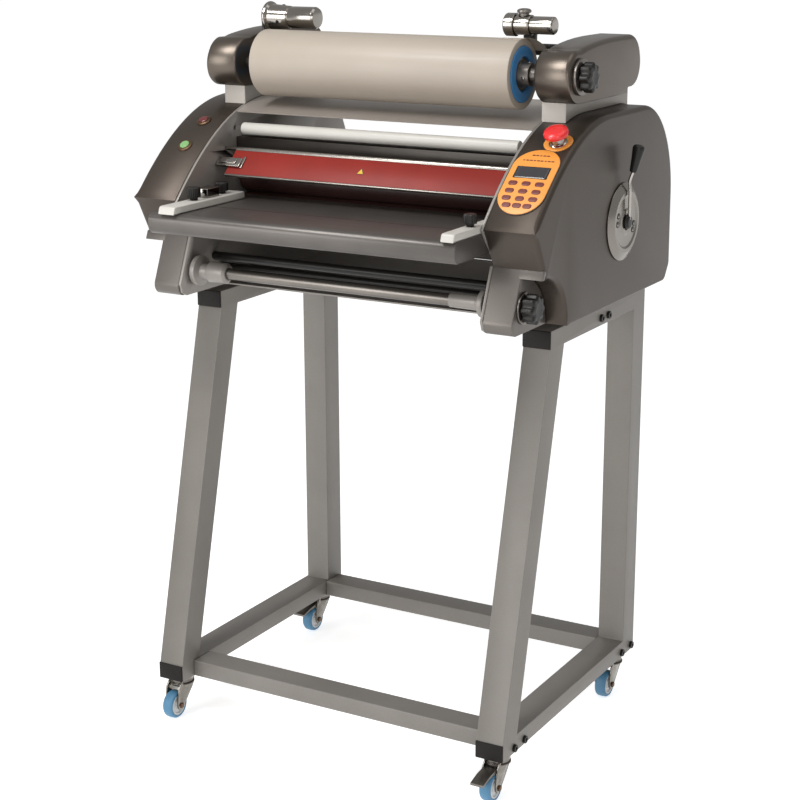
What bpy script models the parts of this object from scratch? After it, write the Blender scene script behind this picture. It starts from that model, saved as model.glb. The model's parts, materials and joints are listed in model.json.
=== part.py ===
"""Stand-mounted hot and cold roll laminator, modelled as an assembly of separate named pieces.

Metres, +Z up, floor at z = 0. The operator stands at -Y, so +X is the operator's right hand.
Numbers below are in the machine's own frame: x = 0 midway between the stand's side frames,
y = 0 at the front end of the stand's bottom rails. One empty shifts the lot to centre its box.
"""
import math

import bmesh
import bpy
from mathutils import Vector

# Driving dimensions ---------------------------------------------------------------------
GAP = 0.0003                      # clearance between pieces that touch or run in each other
FRONT_REACH, REAR_REACH = -0.066, 0.578
LEFT_REACH, RIGHT_REACH = -0.378, 0.4147

STAND_HALF = 0.34675              # outer face of a side frame
TUBE, RAIL, WALL = 0.050, 0.030, 0.002
FRAME_IN = STAND_HALF - TUBE
STAND_BACK = 0.545
FOOT_Z, TOP_Z = 0.075, 0.765      # underside of the bottom rails, top of the top rails
TOP_FRONT = 0.1525                # the raked front leg carries the top rail this far back
REAR_LEG_FRONT = STAND_BACK - TUBE
LEG_FACE = 0.0514                 # raked leg measured level
FRONT_CROSS, REAR_CROSS, TOP_CROSS = 0.0585, 0.5100, 0.3655

CASTER_X = 0.3218
CASTER_Y = (0.030, 0.497)
WHEEL_R, WHEEL_W, TRAIL = 0.025, 0.020, 0.024

PLATE_IN, PLATE_OUT = 0.2856, 0.2902   # side plates
INSIDE = PLATE_IN - GAP           # half length of anything that spans the side plates
COVER_IN, COVER_OUT, SHEET = PLATE_OUT + GAP, 0.378, 0.0025
BASE_Z, CROWN_Z = 0.780, 1.0975
CROWN_FRONT, CROWN_BACK = 0.300, 0.444
CURL = 1.95                       # the front falls away as this times distance squared
NOSE_Y = 0.0187
TAKE_UP_OUT = 0.3414

NIP_Y, NIP_LOW_Z, NIP_HIGH_Z, NIP_R = 0.215, 0.9095, 0.9655, 0.02785
PULL_Y, PULL_LOW_Z, PULL_HIGH_Z, PULL_R = 0.420, 0.9145, 0.9605, 0.02285
NIP_LIFT = 0.008
JOURNAL_R = 0.010
IDLER_YZ, IDLER_R = (0.1935, 1.0495), 0.0105
SUPPLY_YZ, FILM_R, CORE_R, CORE_BORE, FILM_HALF = (0.240, 1.160), 0.0565, 0.045, 0.028, 0.2467
TAKE_UP_YZ, TAKE_UP_R = (0.061, 0.8205), 0.0097
CHUCK_YZ = (0.295, 1.234)
TABLE_Z = 0.937
GUARD_TOP, GUARD_LIP = (0.1646, 1.0172), (0.1237, 0.9764)
DIAL_YZ = (0.355, 0.915)
E_STOP_XY = (0.345, 0.1675)
BUTTON_X, STOP_Y, START_Y = -0.330, 0.164, 0.107


def clear_scene():
    """Remove whatever the open file holds."""
    for old in list(bpy.data.objects):
        bpy.data.objects.remove(old, do_unlink=True)


clear_scene()
PARTS = bpy.data.collections.new("roll_laminator")
CUTTERS = bpy.data.collections.new("cutters")
for group in (PARTS, CUTTERS):
    bpy.context.scene.collection.children.link(group)
MACHINE = bpy.data.objects.new("machine_frame", None)
MACHINE.location = (-(LEFT_REACH + RIGHT_REACH) / 2, -(FRONT_REACH + REAR_REACH) / 2, 0.0)
PARTS.objects.link(MACHINE)


def material(name, colour, roughness, metallic=0.0, alpha=1.0):
    """Return a Principled material."""
    made = bpy.data.materials.new(name)
    made.use_nodes = True
    shader = made.node_tree.nodes["Principled BSDF"]
    shader.inputs["Base Color"].default_value = (*colour, 1.0)
    shader.inputs["Roughness"].default_value = roughness
    shader.inputs["Metallic"].default_value = metallic
    shader.inputs["Alpha"].default_value = alpha
    return made


STAND_PAINT = material("stand_paint", (0.20, 0.18, 0.16), 0.45)
HOUSING_PAINT = material("housing_paint", (0.10, 0.085, 0.075), 0.40)
PANEL_PAINT = material("panel_paint", (0.36, 0.34, 0.31), 0.45)
BLACK_PLASTIC = material("black_plastic", (0.02, 0.02, 0.02), 0.5)
WHITE_PLASTIC = material("white_plastic", (0.70, 0.68, 0.64), 0.4)
STEEL = material("bright_steel", (0.62, 0.60, 0.58), 0.25, 1.0)
TREAD = material("caster_tread", (0.09, 0.20, 0.33), 0.6)
FILM = material("film", (0.58, 0.51, 0.42), 0.5)
CORE_BLUE = material("core_blue", (0.05, 0.18, 0.38), 0.5)
ROLLER_RUBBER = material("roller_rubber", (0.22, 0.06, 0.05), 0.55)
GUARD_RED = material("guard_red", (0.42, 0.04, 0.03), 0.25, alpha=0.75)
PANEL_ORANGE = material("panel_orange", (0.68, 0.26, 0.04), 0.45)
SIGNAL_RED = material("signal_red", (0.60, 0.02, 0.02), 0.35)
CASTING_PAINT = material("casting_paint", (0.10, 0.085, 0.075), 0.40)
MOTOR_CASTING = material("motor_casting", (0.05, 0.05, 0.05), 0.5, 0.4)
SIGNAL_GREEN = material("signal_green", (0.16, 0.32, 0.12), 0.35)


def link(obj, paint=None, cutter=False):
    """Put an object in its collection, under the machine's empty, with its material."""
    (CUTTERS if cutter else PARTS).objects.link(obj)
    obj.parent = MACHINE
    if cutter:
        obj.hide_render = True
        obj.display_type = "WIRE"
    elif paint:
        obj.data.materials.append(paint)
    return obj


def mesh_object(name, bm, place, paint, cutter):
    """Turn a bmesh into a linked object at a place."""
    bmesh.ops.recalc_face_normals(bm, faces=bm.faces)
    mesh = bpy.data.meshes.new(name)
    bm.to_mesh(mesh)
    bm.free()
    obj = bpy.data.objects.new(name, mesh)
    obj.location = place
    return link(obj, paint, cutter)


def box(name, low, high, paint=None, cutter=False, bevel=0.0):
    """Make a box between two corners, its origin at its centre."""
    low, high = Vector(low), Vector(high)
    bm = bmesh.new()
    bmesh.ops.create_cube(bm, size=1.0)
    bmesh.ops.scale(bm, vec=high - low, verts=bm.verts)
    obj = mesh_object(name, bm, (low + high) / 2, paint, cutter)
    if bevel:
        soften(obj, bevel)
    return obj


def rod(name, start, end, radius, paint=None, cutter=False, end_radius=None, sides=24):
    """Make a round or tapered rod between two points, its origin at the start."""
    start, end = Vector(start), Vector(end)
    along = end - start
    bm = bmesh.new()
    bmesh.ops.create_cone(bm, cap_ends=True, segments=sides, radius1=radius,
                          radius2=radius if end_radius is None else end_radius,
                          depth=along.length)
    bmesh.ops.translate(bm, vec=(0.0, 0.0, along.length / 2), verts=bm.verts)
    obj = mesh_object(name, bm, start, paint, cutter)
    obj.rotation_euler = along.to_track_quat("Z", "Y").to_euler()
    return obj


def turned(name, steps, centre, paint=None, bore=0.0, axis=(1, 0, 0), sides=32, cutter=False):
    """Turn (distance along the axis, radius) steps into a solid with Screw.

    The steps run in the direction of the axis; a bore makes the piece a sleeve.
    """
    steps = list(reversed(steps))
    ring = [(radius, along) for along, radius in steps]
    closing = [(bore, steps[-1][0]), (bore, steps[0][0])]
    points = ring + closing if bore else [closing[1]] + ring + [closing[0]]
    mesh = bpy.data.meshes.new(name)
    edges = [(i, i + 1) for i in range(len(points) - 1)]
    if bore:
        edges.append((len(points) - 1, 0))
    mesh.from_pydata([(radius, 0.0, along) for radius, along in points], edges, [])
    obj = bpy.data.objects.new(name, mesh)
    obj.location = centre
    obj.rotation_euler = Vector(axis).to_track_quat("Z", "Y").to_euler()
    link(obj, paint, cutter)
    screw = obj.modifiers.new("turn", "SCREW")
    screw.steps = screw.render_steps = sides
    screw.use_merge_vertices = True
    screw.merge_threshold = 0.00001
    return obj


def slab(name, outline, x_from, x_to, paint=None, cutter=False):
    """Extrude a side-view outline of (y, z) points from one x to another."""
    curve = bpy.data.curves.new(name, "CURVE")
    curve.dimensions = "2D"
    curve.fill_mode = "BOTH"
    curve.extrude = abs(x_to - x_from) / 2
    spline = curve.splines.new("POLY")
    spline.points.add(len(outline) - 1)
    for point, (y, z) in zip(spline.points, outline):
        point.co = (y, z, 0.0, 1.0)
    spline.use_cyclic_u = True
    drawn = bpy.data.objects.new(name + "_outline", curve)
    bm = bmesh.new()
    bm.from_mesh(bpy.data.meshes.new_from_object(drawn))
    bpy.data.objects.remove(drawn)
    bmesh.ops.remove_doubles(bm, verts=bm.verts, dist=0.00001)
    bmesh.ops.dissolve_limit(bm, angle_limit=0.001, verts=bm.verts, edges=bm.edges)
    obj = mesh_object(name, bm, ((x_from + x_to) / 2, 0.0, 0.0), paint, cutter)
    obj.rotation_euler = (math.pi / 2, 0.0, math.pi / 2)
    return obj


def cut(obj, cutter):
    """Take one solid out of another."""
    apply_boolean(obj, cutter, "DIFFERENCE")


def join(obj, other):
    """Weld one solid onto another."""
    apply_boolean(obj, other, "UNION")


def apply_boolean(obj, other, operation):
    """Add one exact Boolean."""
    step = obj.modifiers.new(other.name, "BOOLEAN")
    step.operation = operation
    step.solver = "EXACT"
    step.object = other


def soften(obj, width, segments=2):
    """Round the sharp edges."""
    edge = obj.modifiers.new("edge_round", "BEVEL")
    edge.width = width
    edge.segments = segments
    edge.limit_method = "ANGLE"
    edge.angle_limit = math.radians(40)
    edge.harden_normals = False


def inset(outline, by):
    """Move every side of a side-view outline inwards and return the new corners."""
    ring = [Vector(point) for point in outline]
    following = ring[1:] + ring[:1]
    area = sum(a.x * b.y - b.x * a.y for a, b in zip(ring, following))
    turn = math.copysign(1.0, area)
    normals = [Vector((a.y - b.y, b.x - a.x)).normalized() * turn
               for a, b in zip(ring, following)]
    corners = zip(ring, normals[-1:] + normals[:-1], normals)
    return [tuple(point + (before + after) * (by / (1.0 + before.dot(after))))
            for point, before, after in corners]


def hollow(obj, outline, x_open, x_wall, edge):
    """Leave a slab as sheet metal with rounded edges, open towards the machine."""
    if edge:
        soften(obj, edge)
    cut(obj, slab(obj.name + "_hollow", inset(outline, SHEET), x_open, x_wall, cutter=True))


def reparent(obj, pivot):
    """Move an object's origin onto a joint axis without moving its mesh."""
    shift = obj.matrix_basis.to_3x3().inverted() @ (Vector(pivot) - obj.location)
    for vertex in obj.data.vertices:
        vertex.co -= shift
    obj.location = pivot


def arc(centre, radius, start, end, count, radius_z=None):
    """Points of an elliptic arc in side view, angles in degrees from +Y towards +Z."""
    tall = radius if radius_z is None else radius_z
    turns = [math.radians(start + (end - start) * i / count) for i in range(count + 1)]
    return [(centre[0] + radius * math.cos(t), centre[1] + tall * math.sin(t)) for t in turns]


def front_z(y):
    """Height of the housings' curved front above a given y."""
    return CROWN_Z - CURL * max(0.0, CROWN_FRONT - y) ** 2


def front_curve(start, end, count, lift=0.0):
    """Points along the curved front, moved outwards by lift."""
    points = []
    for i in range(count + 1):
        y = start + (end - start) * i / count
        slope = 2 * CURL * max(0.0, CROWN_FRONT - y)
        length = math.hypot(1.0, slope)
        points.append((y - lift * slope / length, front_z(y) + lift / length))
    return points


def spans(side, near, far):
    """The x interval of a piece on one side, in ascending order."""
    return sorted((side * near, side * far))


SIDES = (("left", -1), ("right", 1))
BACK_CURVE = arc((CROWN_BACK, 0.930), 0.134, 90, 0, 10, 0.1675)
CROWN = front_curve(NOSE_Y, CROWN_FRONT, 14) + BACK_CURVE
REAR_FOOT = [(REAR_REACH, 0.807), (0.556, BASE_Z)]
NOTCH = arc((0.058, BASE_Z), 0.085, 0, 90, 8, 0.088)
HOUSING = CROWN + REAR_FOOT + NOTCH + [(0.0682, 0.8839)]
SIDE_PLATE = CROWN + REAR_FOOT + [(0.038, BASE_Z), (0.0262, 0.7862), (0.0208, 0.8015),
                                  (0.0545, 0.8826), (0.0682, 0.8839)]


# Stand ----------------------------------------------------------------------------------
def side_frame(name, side):
    """One welded side of the stand: two rails, a rear leg and a raked front leg."""
    rake = TOP_FRONT / (TOP_Z - RAIL - FOOT_Z - RAIL)
    x0, x1 = spans(side, FRAME_IN, STAND_HALF)
    low, high = FOOT_Z + RAIL, TOP_Z - RAIL
    frame = slab(name, [(0, FOOT_Z), (STAND_BACK, FOOT_Z), (STAND_BACK, TOP_Z),
                        (TOP_FRONT, TOP_Z), (TOP_FRONT, high), (0, low)], x0, x1, STAND_PAINT)
    window = [(LEG_FACE, low), (REAR_LEG_FRONT, low), (REAR_LEG_FRONT, high),
              (TOP_FRONT + LEG_FACE, high)]
    cut(frame, slab(name + "_window", window, x0 - 0.01, x1 + 0.01, cutter=True))
    a, b = x0 + WALL, x1 - WALL
    end = STAND_BACK - WALL
    for tag, z in (("foot", FOOT_Z), ("top", high)):
        cut(frame, box(f"{name}_{tag}_bore", (a, -0.02, z + WALL), (b, end, z + RAIL - WALL),
                       cutter=True))
    cut(frame, box(name + "_rear_bore", (a, REAR_LEG_FRONT + WALL, FOOT_Z + 0.01),
                   (b, end, TOP_Z - 0.01), cutter=True))
    bottom, top = low - 0.010, high + 0.010
    raked = [((z - low) * rake + offset, z) for z, offset in
             ((bottom, WALL * 1.03), (bottom, LEG_FACE - WALL * 1.03),
              (top, LEG_FACE - WALL * 1.03), (top, WALL * 1.03))]
    cut(frame, slab(name + "_raked_bore", raked, a, b, cutter=True))


def tube_across(name, y, z):
    """A cross rail between the side frames, open at both ends."""
    reach = FRAME_IN - GAP
    rail = box(name, (-reach, y - TUBE / 2, z), (reach, y + TUBE / 2, z + RAIL), STAND_PAINT)
    cut(rail, box(name + "_bore", (-0.4, y - TUBE / 2 + WALL, z + WALL),
                  (0.4, y + TUBE / 2 - WALL, z + RAIL - WALL), cutter=True))


def end_cap(name, side, y, z):
    """A plug that closes the front end of a rail."""
    x0, x1 = spans(side, FRAME_IN, STAND_HALF)
    cap = box(name, (x0, y - 0.0035, z), (x1, y - GAP, z + RAIL), BLACK_PLASTIC, bevel=0.0015)
    inset = WALL + GAP
    join(cap, box(name + "_plug", (x0 + inset, y - 0.002, z + inset),
                  (x1 - inset, y + 0.012, z + RAIL - inset), cutter=True))


def caster(corner, x, y, braked):
    """One swivel caster; its wheel trails towards the front."""
    axle = (x, y - TRAIL, WHEEL_R)
    cheek = [(y + dy, z) for dy, z in (
        (-0.0315, 0.0215), (-0.0285, 0.0170), (-0.0195, 0.0170), (-0.0155, 0.0210),
        (0.0120, 0.0500), (0.0180, 0.0580), (0.0180, 0.0700), (-0.0180, 0.0700),
        (-0.0285, 0.0580), (-0.0325, 0.0300))]
    clear = WHEEL_W / 2 + 0.0023
    name = "caster_fork_" + corner
    fork = box(name, (x - clear - 0.002, y - 0.0178, 0.0562), (x + clear + 0.002, y + 0.018, 0.0705),
               STEEL)
    for tag, side in SIDES:
        x0, x1 = sorted((x + side * clear, x + side * (clear + 0.0025)))
        join(fork, slab(f"{name}_{tag}_cheek", cheek, x0, x1, cutter=True))
    join(fork, rod(name + "_head", (x, y, 0.069), (x, y, FOOT_Z - GAP), 0.021, cutter=True))
    join(fork, rod(name + "_axle", (x - 0.0165, axle[1], axle[2]), (x + 0.0165, axle[1], axle[2]),
                   0.003, cutter=True, sides=16))
    reparent(fork, (x, y, 0.0562))
    half = WHEEL_W / 2
    turned("caster_wheel_" + corner,
           [(-half, 0.0215), (-half + 0.003, WHEEL_R), (half - 0.003, WHEEL_R), (half, 0.0215)],
           axle, TREAD, bore=0.003 + GAP, sides=32)
    if braked:
        pin = (x, y - 0.0220, 0.0545)
        join(fork, rod(name + "_pedal_pin", (x - 0.014, pin[1], pin[2]), (x + 0.014, pin[1], pin[2]),
                       0.0018, cutter=True, sides=12))
        tread = [(y + dy, z) for dy, z in (
            (-0.0195, 0.0518), (-0.0185, 0.0545), (-0.0195, 0.0575), (-0.0250, 0.0590),
            (-0.0500, 0.0570), (-0.0750, 0.0510), (-0.0750, 0.0470), (-0.0500, 0.0530),
            (-0.0250, 0.0518))]
        pedal = slab("brake_pedal_" + corner, tread, x - clear + GAP, x + clear - GAP,
                     BLACK_PLASTIC)
        cut(pedal, rod(f"brake_pedal_{corner}_bore", (x - 0.02, pin[1], pin[2]),
                       (x + 0.02, pin[1], pin[2]), 0.0018 + GAP, cutter=True, sides=12))
        reparent(pedal, pin)


for tag, side in SIDES:
    side_frame(tag + "_side_frame", side)
    end_cap(tag + "_bottom_cap", side, 0.0, FOOT_Z)
    end_cap(tag + "_top_cap", side, TOP_FRONT, TOP_Z - RAIL)
    for end, y in zip(("front", "rear"), CASTER_Y):
        braked = (tag, end) in (("right", "front"), ("left", "rear"))
        caster(f"{end}_{tag}", side * CASTER_X, y, braked)
tube_across("front_cross_rail", FRONT_CROSS, FOOT_Z)
tube_across("rear_cross_rail", REAR_CROSS, FOOT_Z)
tube_across("top_cross_rail", TOP_CROSS, TOP_Z - RAIL)


# Head: side plates, covers and panels ---------------------------------------------------
def through(obj, name, y, z, radius, side):
    """Bore a hole along X through a piece on one side of the machine."""
    x0, x1 = spans(side, 0.27, 0.40)
    cut(obj, rod(f"{obj.name}_{name}", (x0, y, z), (x1, y, z), radius, cutter=True))


def side_plate(tag, side):
    """The steel plate that carries the rollers, standing on two rubber-footed flanges."""
    x0, x1 = spans(side, PLATE_IN, PLATE_OUT)
    plate = slab(tag + "_side_plate", SIDE_PLATE, x0, x1, PANEL_PAINT)
    f0, f1 = spans(side, PLATE_OUT - 0.001, 0.345)
    join(plate, box(plate.name + "_flange", (f0, 0.195, 0.7835), (f1, 0.530, 0.7870), cutter=True))
    for end, y in (("front", 0.215), ("rear", 0.505)):
        join(plate, rod(f"{plate.name}_{end}_foot", (side * CASTER_X, y, TOP_Z + GAP),
                        (side * CASTER_X, y, 0.785), 0.014, cutter=True))
    run = JOURNAL_R + GAP
    through(plate, "nip_low", NIP_Y, NIP_LOW_Z, run, side)
    through(plate, "pull_low", PULL_Y, PULL_LOW_Z, run, side)
    through(plate, "pull_high", PULL_Y, PULL_HIGH_Z, run, side)
    slot = (arc((NIP_Y, NIP_HIGH_Z), run, 180, 360, 12)
            + arc((NIP_Y, NIP_HIGH_Z + NIP_LIFT + GAP), run, 0, 180, 12))
    s0, s1 = spans(side, 0.27, 0.295)
    cut(plate, slab(plate.name + "_nip_slot", slot, s0, s1, cutter=True))
    through(plate, "idler", *IDLER_YZ, 0.004 + GAP, side)
    through(plate, "guard", *GUARD_TOP, 0.003 + GAP, side)
    through(plate, "take_up", *TAKE_UP_YZ, TAKE_UP_R + GAP, side)


def cover(tag, side):
    """The painted housing outside a side plate."""
    x0, x1 = spans(side, COVER_IN, COVER_OUT)
    hood = slab(tag + "_cover", HOUSING, x0, x1, HOUSING_PAINT)
    hollow(hood, HOUSING, side * (COVER_IN - 0.01), side * (COVER_OUT - SHEET), 0.004)
    b0, b1 = spans(side, COVER_IN - 0.01, COVER_OUT - 0.012)
    cut(hood, box(hood.name + "_underside", (b0, 0.165, 0.77), (b1, 0.545, 0.79), cutter=True))
    return hood


def take_up_housing(tag, side):
    """The small box under the nose, with the flange that runs out under the cover."""
    x0, x1 = spans(side, COVER_IN, TAKE_UP_OUT)
    bulge = arc((0.057, BASE_Z), 0.0850, 0, 90, 8, 0.0875)
    outline = bulge + [(0.0660, 0.8826), (0.0545, 0.8826), (0.0208, 0.8015), (0.0262, 0.7862),
                       (0.038, BASE_Z)]
    case = slab(tag + "_take_up_housing", outline, x0, x1, PANEL_PAINT)
    hollow(case, outline, side * (COVER_IN - 0.01), side * (TAKE_UP_OUT - SHEET), 0.0)
    f0, f1 = spans(side, TAKE_UP_OUT - 0.004, COVER_OUT)
    lip = [(0.0570, 0.8682), (0.0660, 0.8826), (0.0545, 0.8826), (0.0485, 0.8682)]
    join(case, slab(case.name + "_lip", lip, f0, f1, cutter=True))
    through(case, "shaft", *TAKE_UP_YZ, TAKE_UP_R + GAP, side)


def face_normal(y):
    """Outward normal of the curved front at y."""
    return Vector((0.0, -2 * CURL * (CROWN_FRONT - y), 1.0)).normalized()


def push_button(name, x, y, steps, stem, paint, hood):
    """A button that slides along the front's normal in a hole of its cover."""
    normal = face_normal(y)
    base = Vector((x, y, front_z(y)))
    turned(name, steps, base, paint, axis=normal, sides=32)
    cut(hood, rod(name + "_hole", base - normal * 0.02, base + normal * 0.02, stem + GAP,
                  cutter=True, sides=32))


for tag, side in SIDES:
    side_plate(tag, side)
    take_up_housing(tag, side)
left_cover, right_cover = (cover(tag, side) for tag, side in SIDES)

push_button("e_stop_button", *E_STOP_XY,
            [(-0.012, 0.011), (0.012, 0.011), (0.012, 0.0185), (0.0145, 0.020), (0.0195, 0.020),
             (0.0235, 0.0165), (0.026, 0.010), (0.0268, 0.004)], 0.011, SIGNAL_RED, right_cover)
CAP = [(-0.008, 0.0085), (0.0045, 0.0085), (0.0055, 0.0072)]
push_button("stop_button", BUTTON_X, STOP_Y, CAP, 0.0085, SIGNAL_RED, left_cover)
push_button("start_button", BUTTON_X, START_Y, CAP, 0.0085, SIGNAL_GREEN, left_cover)

box("base_tray", (-INSIDE, 0.150, 0.7802), (INSIDE, 0.555, 0.7832), PANEL_PAINT)
slab("rear_panel", [(REAR_REACH, 0.925), (0.5755, 0.925), (0.5755, 0.8085), (0.5550, 0.7836),
                    (0.5583, 0.7836), (REAR_REACH, 0.8075)], -INSIDE, INSIDE, PANEL_PAINT)
outer = front_curve(0.200, CROWN_FRONT, 8) + BACK_CURVE[:4]
inner = front_curve(0.200, CROWN_FRONT, 8, -0.0025) + arc(
    (CROWN_BACK, 0.930), 0.1315, 90, 63, 3, 0.165)
slab("top_cover", outer + list(reversed(inner)), -INSIDE, INSIDE, PANEL_PAINT)
slab("heater_hood", [(0.196, 1.003), (0.196, 1.034), (0.262, 1.034), (0.262, 1.003),
                     (0.2595, 1.003), (0.2595, 1.0315), (0.1985, 1.0315), (0.1985, 1.003)],
     -INSIDE, INSIDE, PANEL_PAINT)

table = slab("feed_table", [(0.184, 0.9025), (0.184, TABLE_Z)]
             + arc((-0.050, 0.925), 0.012, 90, 180, 4)
             + arc((-0.050, 0.9145), 0.012, 180, 270, 4), -INSIDE, INSIDE, PANEL_PAINT)
cut(table, box("feed_table_hollow", (-INSIDE + 0.003, -0.052, 0.89), (INSIDE - 0.003, 0.181, 0.9342),
               cutter=True))

panel = slab("control_panel", front_curve(0.030, 0.160, 12, GAP)
             + list(reversed(front_curve(0.030, 0.160, 12, 0.0023))), 0.2915, 0.372, PANEL_ORANGE)
capsule = slab("control_panel_outline", arc((0.0310, 0.0), 0.0395, -90, 90, 12)
               + arc((-0.0310, 0.0), 0.0395, 90, 270, 12), -0.04, 0.04, cutter=True)
capsule.location = (0.3318, 0.0948, 1.0120)
capsule.rotation_euler = Vector((0.0, 0.595, -0.804)).to_track_quat("Z", "X").to_euler()
apply_boolean(panel, capsule, "INTERSECT")


# Supply and take-up --------------------------------------------------------------------
SHOULDER = (arc(SUPPLY_YZ, 0.0425, 270, 100, 12)
            + [(0.2575, 1.2024), (0.284, 1.207), (0.316, 1.2104), (0.376, 1.2135)]
            + arc((0.4495, 1.1705), 0.043, 90, -90, 12)
            + [(0.4374, 1.1275), (0.4374, 1.1175)])
NECK = ([(0.228, 1.119)] + [(y, z + GAP) for y, z in front_curve(0.228, CROWN_FRONT, 4)]
        + arc((CROWN_BACK, 0.930), 0.1345, 90, 75, 4, 0.1680) + [(0.4785, 1.119)])


def shoulder(tag, side):
    """The bracket that holds one end of the supply shaft, on a short neck box."""
    x0, x1 = spans(side, PLATE_IN, 0.3466)
    arm = slab(tag + "_shoulder", SHOULDER, x0, x1, CASTING_PAINT)
    n0, n1 = spans(side, 0.2867, 0.3296)
    join(arm, slab(arm.name + "_neck", NECK, n0, n1, cutter=True))
    p0, p1 = spans(side, 0.2907, 0.3256)
    cut(arm, box(arm.name + "_pocket", (p0, 0.233, 1.05), (p1, 0.474, 1.190), cutter=True))
    through(arm, "shaft", *SUPPLY_YZ, 0.0083, side)
    return arm


left_shoulder, right_shoulder = (shoulder(tag, side) for tag, side in SIDES)
ear = slab("left_chuck_ear", [(0.285, 1.175), (0.305, 1.175)]
           + arc(CHUCK_YZ, 0.010, 0, 180, 8), -0.2906, -0.2796, cutter=True)
join(left_shoulder, ear)
cut(left_shoulder, rod("left_chuck_ear_bore", (-0.30, *CHUCK_YZ), (-0.27, *CHUCK_YZ), 0.0053,
                       cutter=True))
join(right_shoulder, box("right_chuck_arm", (0.2122, 0.309, 1.185), (0.2906, 0.326, 1.203),
                         cutter=True))
join(right_shoulder, box("right_chuck_post", (0.2132, 0.303, 1.190), (0.2312, 0.325, 1.240),
                         cutter=True))
join(right_shoulder, rod("right_chuck_collar", (0.2083, *CHUCK_YZ), (0.2357, *CHUCK_YZ), 0.0165,
                         cutter=True, sides=32))
cut(right_shoulder, rod("right_chuck_bore", (0.20, *CHUCK_YZ), (0.24, *CHUCK_YZ), 0.0103,
                        cutter=True))

turned("film_roll", [(-FILM_HALF, FILM_R), (FILM_HALF, FILM_R)], (0.0, *SUPPLY_YZ), FILM,
       bore=CORE_R + GAP, sides=48)
turned("film_core", [(-FILM_HALF - 0.002, CORE_R), (FILM_HALF + 0.002, CORE_R)],
       (0.0, *SUPPLY_YZ), CORE_BLUE, bore=CORE_BORE, sides=40)
hub = CORE_BORE - GAP
turned("supply_shaft", [(-0.335, 0.008), (-0.250, 0.008), (-0.250, hub), (-0.185, hub),
                        (-0.185, 0.008), (0.185, 0.008), (0.185, hub), (0.250, hub),
                        (0.250, 0.008), (0.357, 0.008)], (0.0, *SUPPLY_YZ), STEEL)


def brake_knob(name, start, centre, washer_r, grip_r, washer_w, bore):
    """A knob on a shaft end: washer, waist and grip, blind bored for the shaft."""
    knob = turned(name, [(start, washer_r), (start + washer_w, washer_r),
                         (start + washer_w, grip_r - 0.002), (start + washer_w + 0.003, grip_r),
                         (start + 0.0245, grip_r), (start + 0.0265, grip_r - 0.003)],
                  centre, BLACK_PLASTIC)
    cut(knob, rod(name + "_bore", (start - 0.01, centre[1], centre[2]),
                  (start + 0.011, centre[1], centre[2]), bore + GAP, cutter=True))


brake_knob("supply_brake_knob", 0.3469, (0.0, *SUPPLY_YZ), 0.0295, 0.024, 0.0057, 0.008)
brake_knob("take_up_brake_knob", 0.3417, (0.0, *TAKE_UP_YZ), 0.026, 0.0247, 0.003, TAKE_UP_R)
turned("take_up_shaft", [(-0.320, TAKE_UP_R), (0.352, TAKE_UP_R)], (0.0, *TAKE_UP_YZ), STEEL)
turned("left_take_up_cup", [(-0.278, 0.026), (-0.269, 0.026), (-0.269, 0.013), (-0.250, 0.013),
                            (-0.250, 0.018), (-0.2137, 0.018)],
       (0.0, *TAKE_UP_YZ), STEEL, bore=TAKE_UP_R + GAP)
turned("right_take_up_cup", [(0.2137, 0.0115), (0.262, 0.0115), (0.262, 0.0145), (0.2693, 0.0145),
                             (0.2693, 0.0223), (0.278, 0.0223)],
       (0.0, *TAKE_UP_YZ), STEEL, bore=TAKE_UP_R + GAP)
turned("left_chuck", [(-0.2905, 0.005), (-0.277, 0.005), (-0.277, 0.027), (-0.268, 0.027),
                      (-0.231, 0.020), (-0.178, 0.020), (-0.176, 0.018)],
       (0.0, *CHUCK_YZ), STEEL)
turned("right_chuck", [(0.190, 0.0175), (0.192, 0.019), (0.208, 0.019), (0.208, 0.010),
                       (0.236, 0.010), (0.236, 0.0145), (0.275, 0.0145), (0.277, 0.0125)],
       (0.0, *CHUCK_YZ), STEEL)


# Rollers and the work area ---------------------------------------------------------------
def driven_roller(name, y, z, radius, paint):
    """A rubber roller with journals through both plates and a drive wheel at the right."""
    wheel = radius - 0.0012
    turned(name, [(-0.305, JOURNAL_R), (-0.2755, JOURNAL_R), (-0.2755, radius), (0.2755, radius),
                  (0.2755, JOURNAL_R), (0.300, JOURNAL_R), (0.300, wheel), (0.310, wheel),
                  (0.310, JOURNAL_R), (0.316, JOURNAL_R)], (0.0, y, z), paint, sides=40)


driven_roller("lower_nip_roller", NIP_Y, NIP_LOW_Z, NIP_R, ROLLER_RUBBER)
driven_roller("upper_nip_roller", NIP_Y, NIP_HIGH_Z, NIP_R, ROLLER_RUBBER)
driven_roller("lower_pull_roller", PULL_Y, PULL_LOW_Z, PULL_R, ROLLER_RUBBER)
driven_roller("upper_pull_roller", PULL_Y, PULL_HIGH_Z, PULL_R, ROLLER_RUBBER)
turned("idler_roller", [(-0.288, 0.004), (-0.2667, 0.004), (-0.2667, IDLER_R), (0.2667, IDLER_R),
                        (0.2667, 0.004), (0.288, 0.004)], (0.0, *IDLER_YZ), WHITE_PLASTIC)

yoke = rod("nip_yoke", (-0.2835, 0.229, 1.016), (0.2835, 0.229, 1.016), 0.004, STEEL, sides=16)
for tag, side in SIDES:
    x0, x1 = spans(side, 0.2780, 0.2835)
    arm = slab(f"nip_yoke_{tag}_arm", arc((0.229, 1.016), 0.007, 0, 180, 6)
               + arc((NIP_Y, NIP_HIGH_Z), 0.0145, 180, 360, 8), x0, x1, cutter=True)
    join(yoke, arm)
    cut(yoke, rod(f"nip_yoke_{tag}_bore", (x0 - 0.002, NIP_Y, NIP_HIGH_Z),
                  (x1 + 0.002, NIP_Y, NIP_HIGH_Z), JOURNAL_R + GAP, cutter=True))

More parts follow.
